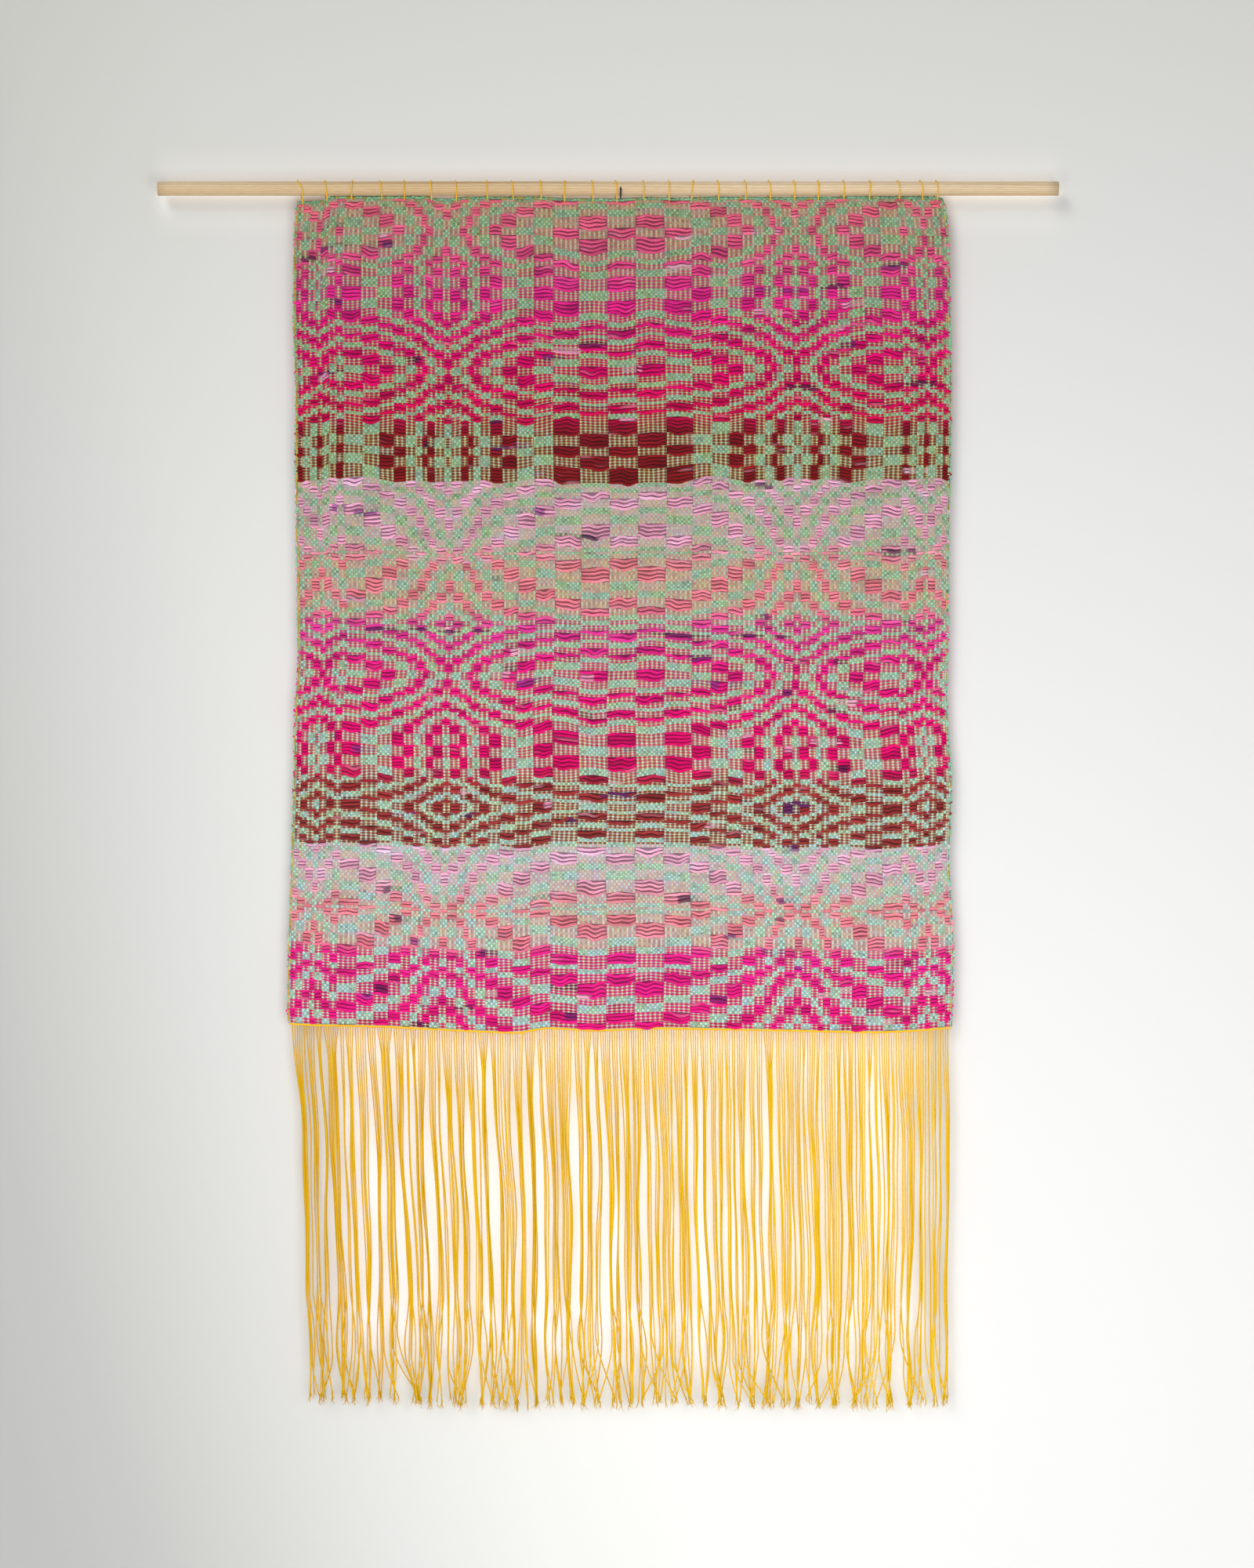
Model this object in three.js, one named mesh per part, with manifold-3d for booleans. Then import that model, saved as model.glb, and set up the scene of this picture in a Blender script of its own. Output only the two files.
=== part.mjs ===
// A woven wall hanging on a round wood rod, which rests on one square-bend hook in the wall.
// Millimetres. X runs to the viewer's right, Y towards the wall and Z up.
// The origin is the middle of the hook's flat end, where it meets the wall.
import * as THREE from "three";
import { mergeVertices } from "three/addons/utils/BufferGeometryUtils.js";
import Module from "manifold-3d";

// Driving dimensions
const CLEARANCE = 0.3;
const ROD_LENGTH = 914.4;
const ROD_DIAMETER = 14.3;
const ROD_OFF_CENTRE = -12.8;
const ROD_FROM_WALL = 16;
const HOOK_WIRE = 1.8;
const HOOK_BEND = 2.2;
const HOOK_TIP_HEIGHT = 8;
const CLOTH_THICKNESS = 2;
const LOOP_THREAD = 1.1;
const LOOP_SLACK = 0.5;
const HOLE_BELOW_EDGE = 3.6;
const HEM_CORD_HEIGHT = 2.2;
const HEM_CORD_THICKNESS = 2.4;
const FRINGE_STRANDS = 180;
const FRINGE_LENGTH = 378;
const STRAND_WIDTH = 1.25;

// Worked out from them
const rodRadius = ROD_DIAMETER / 2;
const wireRadius = HOOK_WIRE / 2;
const threadRadius = LOOP_THREAD / 2;
const rodHeight = wireRadius + CLEARANCE + rodRadius;
const rodDepth = -ROD_FROM_WALL;

// The cloth's two selvedges: each row gives how far below the hook, and where the edges are across.
const selvedges = [
  { drop: 0, left: -328.4, right: 326.5 },
  { drop: 9, left: -328.8, right: 329.5 },
  { drop: 38, left: -331.2, right: 332.8 },
  { drop: 118, left: -331.9, right: 334.6 },
  { drop: 197, left: -329.6, right: 335.6 },
  { drop: 277, left: -330.2, right: 334.6 },
  { drop: 356, left: -328.9, right: 333.0 },
  { drop: 436, left: -328.0, right: 332.8 },
  { drop: 476, left: -327.2, right: 331.6 },
  { drop: 516, left: -330.8, right: 331.0 },
  { drop: 595, left: -332.0, right: 336.0 },
  { drop: 675, left: -334.6, right: 333.4 },
  { drop: 755, left: -337.5, right: 337.8 },
  { drop: 826, left: -338.3, right: 336.8 },
  { drop: 850, left: -337.6, right: 336.4 },
];

// The top edge: it is pulled up to the rod in places, sags between the loops, and dips under the hook.
const topEdge = [
  { across: -328.4, height: -5.2 },
  { across: -302.0, height: -3.6 },
  { across: -296.0, height: 0.6 },
  { across: -197.0, height: 0.8 },
  { across: -188.0, height: -1.8 },
  { across: -171.0, height: -1.8 },
  { across: -160.0, height: 0.2 },
  { across: -84.0, height: 0.4 },
  { across: -56.0, height: -1.6 },
  { across: -20.0, height: -1.8 },
  { across: 6.0, height: -1.8 },
  { across: 22.0, height: 0.0 },
  { across: 64.0, height: -1.2 },
  { across: 92.0, height: 0.2 },
  { across: 176.0, height: -0.4 },
  { across: 244.0, height: 0.6 },
  { across: 300.0, height: 0.6 },
  { across: 318.0, height: 0.4 },
  { across: 326.5, height: -1.6 },
];

// The hem, which the last picks pull into a shallow wave.
const hem = [
  { across: -338.0, height: -838.4 },
  { across: -313.0, height: -839.8 },
  { across: -237.0, height: -841.4 },
  { across: -160.0, height: -845.4 },
  { across: -104.0, height: -847.6 },
  { across: -76.0, height: -842.6 },
  { across: -27.0, height: -845.4 },
  { across: 40.0, height: -843.0 },
  { across: 100.0, height: -844.2 },
  { across: 183.0, height: -845.4 },
  { across: 262.0, height: -847.0 },
  { across: 300.0, height: -845.4 },
  { across: 337.0, height: -842.2 },
];

// Soft swells of the hanging cloth: where each lies, how far it reaches, and how far it stands forward.
const swells = [
  { across: -250, drop: 190, wide: 80, tall: 210, forward: 2.2 },
  { across: -60, drop: 330, wide: 95, tall: 260, forward: -1.8 },
  { across: 150, drop: 240, wide: 85, tall: 230, forward: 2.4 },
  { across: 300, drop: 420, wide: 60, tall: 300, forward: -2.2 },
  { across: -300, drop: 600, wide: 60, tall: 230, forward: -2.6 },
  { across: -150, drop: 690, wide: 75, tall: 230, forward: 2.8 },
  { across: 60, drop: 780, wide: 70, tall: 180, forward: -2.0 },
  { across: 210, drop: 730, wide: 70, tall: 220, forward: 3.0 },
];

// The loops that tie the cloth to the rod: where each crosses the rod's top and where it enters the cloth.
const loops = [
  { rod: -328.4, cloth: -322.9 },
  { rod: -300.5, cloth: -298.2 },
  { rod: -272.3, cloth: -273.1 },
  { rod: -244.7, cloth: -242.4 },
  { rod: -220.0, cloth: -219.4 },
  { rod: -192.9, cloth: -192.0 },
  { rod: -167.8, cloth: -166.6 },
  { rod: -135.9, cloth: -135.4 },
  { rod: -110.9, cloth: -109.1 },
  { rod: -81.5, cloth: -80.7 },
  { rod: -56.8, cloth: -57.2 },
  { rod: -29.4, cloth: -28.0 },
  { rod: -5.2, cloth: -3.7 },
  { rod: 22.7, cloth: 23.5 },
  { rod: 48.6, cloth: 49.4 },
  { rod: 73.7, cloth: 72.2 },
  { rod: 98.1, cloth: 99.6 },
  { rod: 125.6, cloth: 127.1 },
  { rod: 149.9, cloth: 152.2 },
  { rod: 175.6, cloth: 176.6 },
  { rod: 200.3, cloth: 200.7 },
  { rod: 225.8, cloth: 226.6 },
  { rod: 252.8, cloth: 252.8 },
  { rod: 281.0, cloth: 283.0 },
  { rod: 303.6, cloth: 306.5 },
  { rod: 320.0, cloth: 321.5 },
];

// The locks into which the fringe gathers near its foot, by their two sides.
const locks = [
  { from: -320.1, to: -307.3 },
  { from: -306.0, to: -299.4 },
  { from: -295.4, to: -290.6 },
  { from: -284.2, to: -276.7 },
  { from: -272.3, to: -269.1 },
  { from: -260.4, to: -252.4 },
  { from: -248.4, to: -242.0 },
  { from: -234.9, to: -222.1 },
  { from: -211.0, to: -200.2 },
  { from: -197.6, to: -191.5 },
  { from: -187.1, to: -178.3 },
  { from: -172.0, to: -167.5 },
  { from: -165.2, to: -156.9 },
  { from: -143.3, to: -139.3 },
  { from: -134.6, to: -124.2 },
  { from: -119.4, to: -113.1 },
  { from: -108.3, to: -101.9 },
  { from: -97.9, to: -93.2 },
  { from: -89.2, to: -80.4 },
  { from: -75.6, to: -69.3 },
  { from: -62.9, to: -58.1 },
  { from: -54.1, to: -47.4 },
  { from: -42.2, to: -34.2 },
  { from: -25.5, to: -20.7 },
  { from: -10.4, to: 1.6 },
  { from: 7.2, to: 12.7 },
  { from: 16.7, to: 25.5 },
  { from: 34.2, to: 45.4 },
  { from: 51.0, to: 57.3 },
  { from: 66.1, to: 74.8 },
  { from: 80.4, to: 87.6 },
  { from: 94.7, to: 105.9 },
  { from: 116.2, to: 122.6 },
  { from: 127.4, to: 137.7 },
  { from: 142.5, to: 158.4 },
  { from: 164.0, to: 172.8 },
  { from: 176.4, to: 181.9 },
  { from: 186.3, to: 195.1 },
  { from: 199.1, to: 203.8 },
  { from: 209.4, to: 222.9 },
  { from: 230.1, to: 245.2 },
  { from: 248.4, to: 263.5 },
  { from: 266.9, to: 280.3 },
  { from: 289.0, to: 297.8 },
  { from: 301.4, to: 310.5 },
  { from: 313.7, to: 321.7 },
  { from: 324.8, to: 332.8 },
];

const { clamp, lerp, smoothstep } = THREE.MathUtils;

// A value read from a table at a place between its rows.
function readTable(rows, key, place, value) {
  let next = rows.findIndex((row) => row[key] >= place);
  if (next === -1) {
    next = rows.length - 1;
  }
  if (next === 0) {
    next = 1;
  }
  const before = rows[next - 1];
  const after = rows[next];
  const share = clamp((place - before[key]) / (after[key] - before[key]), 0, 1);
  return lerp(before[value], after[value], share);
}

// How far towards the wall the middle of the cloth lies.
function clothDepth(across, drop) {
  const free = smoothstep(drop, 5, 120);
  const forward = swells.reduce((sum, swell) => {
    const aside = (across - swell.across) / swell.wide;
    const below = (drop - swell.drop) / swell.tall;
    return sum + swell.forward * Math.exp(-aside * aside - below * below);
  }, 0);
  return rodDepth - free * forward;
}

// Stations across the cloth: every row of the top edge, and others between them at most this far apart.
const STATION_SPACING = 27;
const stations = topEdge.flatMap((row, index) => {
  if (index === 0) {
    return [row.across];
  }
  const start = topEdge[index - 1].across;
  const parts = Math.ceil((row.across - start) / STATION_SPACING);
  return Array.from({ length: parts }, (_, part) => lerp(start, row.across, (part + 1) / parts));
});
const CLOTH_ROWS = 18;
const topLeft = stations[0];
const topRight = stations[stations.length - 1];

// A point in the middle of the cloth's thickness: a station across, and 0 at the top edge to 1 at the hem.
function clothPoint(station, down) {
  const share = (station - topLeft) / (topRight - topLeft);
  const hemAcross = lerp(hem[0].across, hem[hem.length - 1].across, share);
  const high = readTable(topEdge, "across", station, "height");
  const low = readTable(hem, "across", hemAcross, "height");
  const z = lerp(high, low, down);
  const left = readTable(selvedges, "drop", -z, "left");
  const right = readTable(selvedges, "drop", -z, "right");
  const x = lerp(left, right, share);
  return new THREE.Vector3(x, clothDepth(x, -z), z);
}

// A box of many cells whose points are moved, from shares of its width, height and thickness.
function shapedBox(columns, rows, place) {
  const box = new THREE.BoxGeometry(1, 1, 1, columns, rows, 1);
  const position = box.attributes.position;
  for (let i = 0; i < position.count; i += 1) {
    const column = Math.round((position.getX(i) + 0.5) * columns);
    const down = 0.5 - position.getY(i);
    const front = position.getZ(i) > 0;
    const point = place(column, down, front);
    position.setXYZ(i, point.x, point.y, point.z);
  }
  return box;
}

const wasm = await Module();
wasm.setup();

// A closed geometry as a solid that can be joined and cut, and back.
function toSolid(geometry) {
  const bare = new THREE.BufferGeometry();
  bare.setAttribute("position", geometry.getAttribute("position").clone());
  if (geometry.index) {
    bare.setIndex(geometry.index.clone());
  }
  const merged = mergeVertices(bare, 1e-4);
  const mesh = new wasm.Mesh({
    numProp: 3,
    vertProperties: merged.attributes.position.array,
    triVerts: new Uint32Array(merged.index.array),
  });
  return new wasm.Manifold(mesh);
}

function toGeometry(solid) {
  const mesh = solid.getMesh();
  const geometry = new THREE.BufferGeometry();
  geometry.setAttribute("position", new THREE.BufferAttribute(mesh.vertProperties, 3));
  geometry.setIndex(new THREE.BufferAttribute(mesh.triVerts, 1));
  return geometry;
}

// A regular outline with a given number of sides, for a section carried along a path.
function roundOutline(radius, sides) {
  const points = Array.from({ length: sides }, (_, side) => {
    const angle = (side / sides) * 2 * Math.PI;
    return new THREE.Vector2(radius * Math.cos(angle), radius * Math.sin(angle));
  });
  return new THREE.Shape(points);
}

function carried(outline, path, steps) {
  return new THREE.ExtrudeGeometry(outline, { steps, bevelEnabled: false, extrudePath: path });
}

// Rod: a plain dowel whose cut ends have a slight break of the edge.
const ROD_SIDES = 24;
const ROD_EDGE_BREAK = 0.6;
function makeRod() {
  const half = ROD_LENGTH / 2;
  const profile = [
    new THREE.Vector2(0, -half),
    new THREE.Vector2(rodRadius - ROD_EDGE_BREAK, -half),
    new THREE.Vector2(rodRadius, -half + ROD_EDGE_BREAK),
    new THREE.Vector2(rodRadius, half - ROD_EDGE_BREAK),
    new THREE.Vector2(rodRadius - ROD_EDGE_BREAK, half),
    new THREE.Vector2(0, half),
  ];
  return new THREE.LatheGeometry(profile, ROD_SIDES);
}

// Hook: a wire that leaves the wall level, passes under the rod and turns up in front of it.
const HOOK_SIDES = 8;
const HOOK_STEPS = 18;
function makeHook() {
  const frontDepth = rodDepth - rodRadius - CLEARANCE - wireRadius;
  const path = new THREE.CurvePath();
  path.add(
    new THREE.LineCurve3(
      new THREE.Vector3(0, 0, 0),
      new THREE.Vector3(0, frontDepth + HOOK_BEND, 0),
    ),
  );
  path.add(
    new THREE.QuadraticBezierCurve3(
      new THREE.Vector3(0, frontDepth + HOOK_BEND, 0),
      new THREE.Vector3(0, frontDepth, 0),
      new THREE.Vector3(0, frontDepth, HOOK_BEND),
    ),
  );
  path.add(
    new THREE.LineCurve3(
      new THREE.Vector3(0, frontDepth, HOOK_BEND),
      new THREE.Vector3(0, frontDepth, HOOK_TIP_HEIGHT),
    ),
  );
  return carried(roundOutline(wireRadius, HOOK_SIDES), path, HOOK_STEPS);
}

// The height of the hole through which a loop passes, below the top edge there.
function holeHeight(across) {
  return readTable(topEdge, "across", across, "height") - HOLE_BELOW_EDGE;
}

// Loop: a thread ring that comes up in front of the rod, goes over it and down behind, and through the cloth.
const LOOP_SIDES = 4;
const LOOP_STEPS = 16;
const LOOP_ARC_POINTS = 8;
const LOOP_REAR_SLANT = 3;
function makeLoop({ rod, cloth }) {
  const reach = rodRadius + LOOP_SLACK + threadRadius;
  const hole = holeHeight(cloth);
  const tangentAngle = Math.asin(reach / (rodHeight - hole));
  const points = [new THREE.Vector3(cloth, rodDepth, hole)];
  for (let step = 0; step <= LOOP_ARC_POINTS; step += 1) {
    const share = step / LOOP_ARC_POINTS;
    const angle = lerp(-tangentAngle, Math.PI + tangentAngle, share);
    const front = smoothstep(share, 0, 0.5);
    const rear = lerp(rod, cloth - LOOP_REAR_SLANT, 2 * share - 1);
    const across = share < 0.5 ? lerp(cloth, rod, front) : rear;
    const depth = rodDepth - reach * Math.cos(angle);
    points.push(new THREE.Vector3(across, depth, rodHeight + reach * Math.sin(angle)));
  }
  const path = new THREE.CatmullRomCurve3(points, true, "centripetal");
  return new THREE.TubeGeometry(path, LOOP_STEPS, threadRadius, LOOP_SIDES, true);
}

// Cloth: one thin sheet, hem and selvedges included, with a small hole for each loop.
const HOLE_WIDTH = 2.6;
const HOLE_SHIFT = -0.3;
const HOLE_BELOW_THREAD = 1.1;
const HOLE_ABOVE_THREAD = 1.9;
function makeCloth() {
  const sheet = shapedBox(stations.length - 1, CLOTH_ROWS, (column, down, front) => {
    const point = clothPoint(stations[column], down);
    point.y += front ? -CLOTH_THICKNESS / 2 : CLOTH_THICKNESS / 2;
    return point;
  });
  const holeTall = HOLE_BELOW_THREAD + HOLE_ABOVE_THREAD;
  return loops.reduce((solid, loop) => {
    const cutter = new THREE.BoxGeometry(HOLE_WIDTH, 4 * CLOTH_THICKNESS, holeTall);
    const middle = holeHeight(loop.cloth) - HOLE_BELOW_THREAD + holeTall / 2;
    cutter.translate(loop.cloth + HOLE_SHIFT, rodDepth, middle);
    return solid.subtract(toSolid(cutter));
  }, toSolid(sheet));
}

// Hem cord: the narrow twined edge into which the ends of the fringe run.
function makeHemCord() {
  return shapedBox(stations.length - 1, 1, (column, down, front) => {
    const point = clothPoint(stations[column], 1);
    point.y += front ? -HEM_CORD_THICKNESS / 2 : HEM_CORD_THICKNESS / 2;
    point.z -= CLEARANCE + down * HEM_CORD_HEIGHT;
    return point;
  });
}

// Where the fringe gathers an end that would hang at a given place: each lock draws in its share of the ends.
const FOOT_LEFT = -322;
const FOOT_RIGHT = 334;
function gathered(across) {
  const last = locks.length - 1;
  const found = locks.findIndex((lock, i) => i < last && across < (lock.to + locks[i + 1].from) / 2);
  const index = found === -1 ? last : found;
  const lock = locks[index];
  const low = index === 0 ? FOOT_LEFT : (locks[index - 1].to + lock.from) / 2;
  const high = index === last ? FOOT_RIGHT : (lock.to + locks[index + 1].from) / 2;
  return lerp(lock.from, lock.to, (across - low) / (high - low));
}

// Strand: one end of the fringe, from inside the hem cord down to its cut tip. Neighbours sway together.
const STRAND_STEPS = 5;
const STRAND_SIDES = 3;
const STRAND_ROOT_INSET = 3;
const STRAND_STAGGER = 0.8;
const STRAND_POINTS_DOWN = [0, 0.12, 0.3, 0.55, 0.8, 1];
const DRAWN_IN_BY = 0.6;
const LOOSE_BY = 0.3;
const SWAY = { reach: 1.6, turns: 7, spread: 55 };
const RIPPLE = { reach: 0.8, turns: 9, spread: 40 };
const FOOT_HANGS_PLUMB = 0.7;
function wave({ reach, turns, spread }, across, down) {
  return reach * Math.sin(turns * down + across / spread) * smoothstep(down, 0, LOOSE_BY);
}
function makeStrand(index) {
  const share = (index + 0.5) / FRINGE_STRANDS;
  const station = lerp(topLeft + STRAND_ROOT_INSET, topRight - STRAND_ROOT_INSET, share);
  const root = clothPoint(station, 1);
  root.z -= CLEARANCE + HEM_CORD_HEIGHT / 2;
  const foot = gathered(lerp(FOOT_LEFT, FOOT_RIGHT, share));
  const stagger = index % 2 === 0 ? STRAND_STAGGER : -STRAND_STAGGER;
  const points = STRAND_POINTS_DOWN.map((down) => {
    const across = lerp(root.x, foot, smoothstep(down, 0, DRAWN_IN_BY)) + wave(SWAY, root.x, down);
    const plumb = lerp(root.y, rodDepth, FOOT_HANGS_PLUMB * down);
    const depth = plumb + stagger * smoothstep(down, 0, LOOSE_BY) + wave(RIPPLE, root.x, down);
    return new THREE.Vector3(across, depth, root.z - down * FRINGE_LENGTH);
  });
  const path = new THREE.CatmullRomCurve3(points, false, "centripetal");
  return carried(roundOutline(STRAND_WIDTH / 2, STRAND_SIDES), path, STRAND_STEPS);
}

function makeFringe() {
  const strands = Array.from({ length: FRINGE_STRANDS }, (_, index) => toSolid(makeStrand(index)));
  return wasm.Manifold.union([toSolid(makeHemCord()), ...strands]);
}

// Materials, by what each piece is made of
const paleWood = new THREE.MeshStandardMaterial({ color: 0xdcbc92, roughness: 0.6 });
const darkWire = new THREE.MeshStandardMaterial({ color: 0x3a3b33, roughness: 0.45, metalness: 0.8 });
const wovenCloth = new THREE.MeshStandardMaterial({ color: 0xb0789a, roughness: 0.95 });
const goldThread = new THREE.MeshStandardMaterial({ color: 0xdcaa26, roughness: 0.85 });
const goldFringe = new THREE.MeshStandardMaterial({ color: 0xefb22a, roughness: 0.85 });

function piece(name, geometry, material) {
  const mesh = new THREE.Mesh(geometry, material);
  mesh.name = name;
  return mesh;
}

const hanging = new THREE.Group();

const rod = piece("rod", makeRod(), paleWood);
rod.rotation.z = -Math.PI / 2;
rod.position.set(ROD_OFF_CENTRE, rodDepth, rodHeight);
hanging.add(rod);

hanging.add(piece("hook", makeHook(), darkWire));
hanging.add(piece("cloth", toGeometry(makeCloth()), wovenCloth));
hanging.add(piece("fringe", toGeometry(makeFringe()), goldFringe));
loops.forEach((loop, index) => {
  const name = `loop_${String(index + 1).padStart(2, "0")}`;
  hanging.add(piece(name, makeLoop(loop), goldThread));
});

export default hanging;
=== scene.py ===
"""Dresses the woven wall hanging: an overshot cloth with a long golden fringe, tied to a pale wood rod.

Shapes are worked out in millimetres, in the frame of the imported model: X runs to the viewer's right,
Y towards the wall and Z up. They become metres where a mesh is made.
"""
from functools import partial

import bpy
import numpy as np
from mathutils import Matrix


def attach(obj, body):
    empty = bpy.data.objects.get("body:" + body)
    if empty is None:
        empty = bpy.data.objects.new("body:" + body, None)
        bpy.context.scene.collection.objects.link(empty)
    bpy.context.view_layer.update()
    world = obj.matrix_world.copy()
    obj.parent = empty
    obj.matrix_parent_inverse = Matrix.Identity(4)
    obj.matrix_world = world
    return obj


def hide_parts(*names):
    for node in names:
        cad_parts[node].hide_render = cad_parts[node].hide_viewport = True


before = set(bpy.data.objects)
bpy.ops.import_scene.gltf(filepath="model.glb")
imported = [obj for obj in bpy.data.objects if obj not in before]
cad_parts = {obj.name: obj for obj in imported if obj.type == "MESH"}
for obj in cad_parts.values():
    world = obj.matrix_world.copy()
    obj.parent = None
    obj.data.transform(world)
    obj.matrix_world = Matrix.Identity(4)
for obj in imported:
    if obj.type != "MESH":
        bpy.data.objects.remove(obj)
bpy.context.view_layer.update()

MM = 0.001
TO_VIEWER = (0, -1, 0)
ALONG_ROD = (1, 0, 0)

# Sizes that the part's source gives
ROD_LENGTH = 914.4
ROD_RADIUS = 7.15
ROD_MIDDLE = (-12.8, -16.0, 8.35)
HOOK_WIRE_RADIUS = 0.9
HOOK_BEND = 2.2
HOOK_TIP_HEIGHT = 8.0
GAP = 0.3
LOOP_SLACK = 0.5
LOOP_THREAD_RADIUS = 0.55
HOLE_BELOW_EDGE = 3.6
HEM_CORD_HEIGHT = 2.2
FRINGE_LENGTH = 378.0
rod_depth = ROD_MIDDLE[1]
rod_height = ROD_MIDDLE[2]

# The cloth's two selvedges: how far below the hook, and where the edges are across.
edge_drop, edge_left, edge_right = np.array([
    (0, -328.4, 326.5), (9, -328.8, 329.5), (38, -331.2, 332.8), (118, -331.9, 334.6),
    (197, -329.6, 335.6), (277, -330.2, 334.6), (356, -328.9, 333.0), (436, -328.0, 332.8),
    (476, -327.2, 331.6), (516, -330.8, 331.0), (595, -332.0, 336.0), (675, -334.6, 333.4),
    (755, -337.5, 337.8), (826, -338.3, 336.8), (850, -337.6, 336.4),
]).T

# The top edge: where across, and its height.
top_across, top_height = np.array([
    (-328.4, -5.2), (-302.0, -3.6), (-296.0, 0.6), (-197.0, 0.8), (-188.0, -1.8), (-171.0, -1.8),
    (-160.0, 0.2), (-84.0, 0.4), (-56.0, -1.6), (-20.0, -1.8), (6.0, -1.8), (22.0, 0.0), (64.0, -1.2),
    (92.0, 0.2), (176.0, -0.4), (244.0, 0.6), (300.0, 0.6), (318.0, 0.4), (326.5, -1.6),
]).T

# The hem: where across, and its height.
hem_across, hem_height = np.array([
    (-338.0, -838.4), (-313.0, -839.8), (-237.0, -841.4), (-160.0, -845.4), (-104.0, -847.6),
    (-76.0, -842.6), (-27.0, -845.4), (40.0, -843.0), (100.0, -844.2), (183.0, -845.4),
    (262.0, -847.0), (300.0, -845.4), (337.0, -842.2),
]).T

# Soft swells of the hanging cloth: across, drop, how wide, how tall, and how far forward.
SWELLS = [
    (-250, 190, 80, 210, 2.2), (-60, 330, 95, 260, -1.8), (150, 240, 85, 230, 2.4),
    (300, 420, 60, 300, -2.2), (-300, 600, 60, 230, -2.6), (-150, 690, 75, 230, 2.8),
    (60, 780, 70, 180, -2.0), (210, 730, 70, 220, 3.0),
]

# The loops: where each crosses the rod's top, and where it enters the cloth.
loop_rod, loop_cloth = np.array([
    (-328.4, -322.9), (-300.5, -298.2), (-272.3, -273.1), (-244.7, -242.4), (-220.0, -219.4),
    (-192.9, -192.0), (-167.8, -166.6), (-135.9, -135.4), (-110.9, -109.1), (-81.5, -80.7),
    (-56.8, -57.2), (-29.4, -28.0), (-5.2, -3.7), (22.7, 23.5), (48.6, 49.4), (73.7, 72.2),
    (98.1, 99.6), (125.6, 127.1), (149.9, 152.2), (175.6, 176.6), (200.3, 200.7), (225.8, 226.6),
    (252.8, 252.8), (281.0, 283.0), (303.6, 306.5), (320.0, 321.5),
]).T

# The locks into which the fringe gathers near its foot: their two sides.
lock_from, lock_to = np.array([
    (-320.1, -307.3), (-306.0, -299.4), (-295.4, -290.6), (-284.2, -276.7), (-272.3, -269.1),
    (-260.4, -252.4), (-248.4, -242.0), (-234.9, -222.1), (-211.0, -200.2), (-197.6, -191.5),
    (-187.1, -178.3), (-172.0, -167.5), (-165.2, -156.9), (-143.3, -139.3), (-134.6, -124.2),
    (-119.4, -113.1), (-108.3, -101.9), (-97.9, -93.2), (-89.2, -80.4), (-75.6, -69.3),
    (-62.9, -58.1), (-54.1, -47.4), (-42.2, -34.2), (-25.5, -20.7), (-10.4, 1.6), (7.2, 12.7),
    (16.7, 25.5), (34.2, 45.4), (51.0, 57.3), (66.1, 74.8), (80.4, 87.6), (94.7, 105.9),
    (116.2, 122.6), (127.4, 137.7), (142.5, 158.4), (164.0, 172.8), (176.4, 181.9), (186.3, 195.1),
    (199.1, 203.8), (209.4, 222.9), (230.1, 245.2), (248.4, 263.5), (266.9, 280.3), (289.0, 297.8),
    (301.4, 310.5), (313.7, 321.7), (324.8, 332.8),
]).T

# The weaving draft is our own, of the traditional kind: four blocks in turn, curves, wheels and tables.
BLOCKS = "ABCD"


def mirrored(blocks):
    """The blocks forwards and then backwards, with the last one used once."""
    return blocks + blocks[-2::-1]


def curve(first, step, sizes):
    """A run of blocks: each is one step on from the last, and the sizes say how many threads it has."""
    start = BLOCKS.index(first)
    return [((start + step * place) % len(BLOCKS), size) for place, size in enumerate(sizes)]


def table(*blocks):
    """A run of named blocks, such as A4 for four threads in block A."""
    return [(BLOCKS.index(block[0]), int(block[1:])) for block in blocks]


border = mirrored(curve("A", 1, [3, 3, 3, 2]))
wheel = mirrored(curve("B", 1, [8, 7, 6, 5, 4, 3, 2, 3, 4, 3]))
squares = table("A11", "D12", "A12", "D12", "A11")
threading = border + wheel + squares + wheel + border

rose = mirrored(curve("A", 1, [2, 2, 3, 4, 3]))
ladder = table("B3", "A4", "B4", "A4", "B3")
ripple = mirrored(curve("C", 1, [2, 1, 2, 1, 2, 2, 1, 2, 3, 3]))
pillars = table("A5", "D4", "A3", "D4", "A5")
oval = mirrored(curve("B", 1, [2, 2, 2, 3, 3, 4, 4, 3, 2, 1]))
lines = mirrored(curve("D", -1, [2, 1, 2, 1, 2, 1, 3]))
foot = curve("C", -1, [2, 2, 3, 4, 3, 3, 3, 2])
treadling = rose + ladder + ripple + pillars + oval + ripple + ladder + lines + oval[:-3] + foot

block_kind = np.array([kind for kind, _ in threading])
block_size = np.array([size for _, size in threading])
block_end = np.cumsum(block_size)
block_start = block_end - block_size
WARP_ENDS = int(block_end[-1])
pick_kind = np.concatenate([[kind] * size for kind, size in treadling])
PICKS = len(pick_kind)

# What a block of the warp shows at a pick, on the front: 0 a float, 1 or 3 a half-tone, 2 the ground.
FLOAT, GROUND = 0, 2
shown = (block_kind[None, :] - pick_kind[:, None]) % len(BLOCKS)
shown[0] = GROUND


# Colours

def linear(colour):
    """An sRGB hex colour as three linear numbers: the standard curve, with its straight part near black."""
    srgb = np.array([int(colour[place:place + 2], 16) for place in (1, 3, 5)]) / 255
    return np.where(srgb <= 0.04045, srgb / 12.92, ((srgb + 0.055) / 1.055) ** 2.4)


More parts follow.
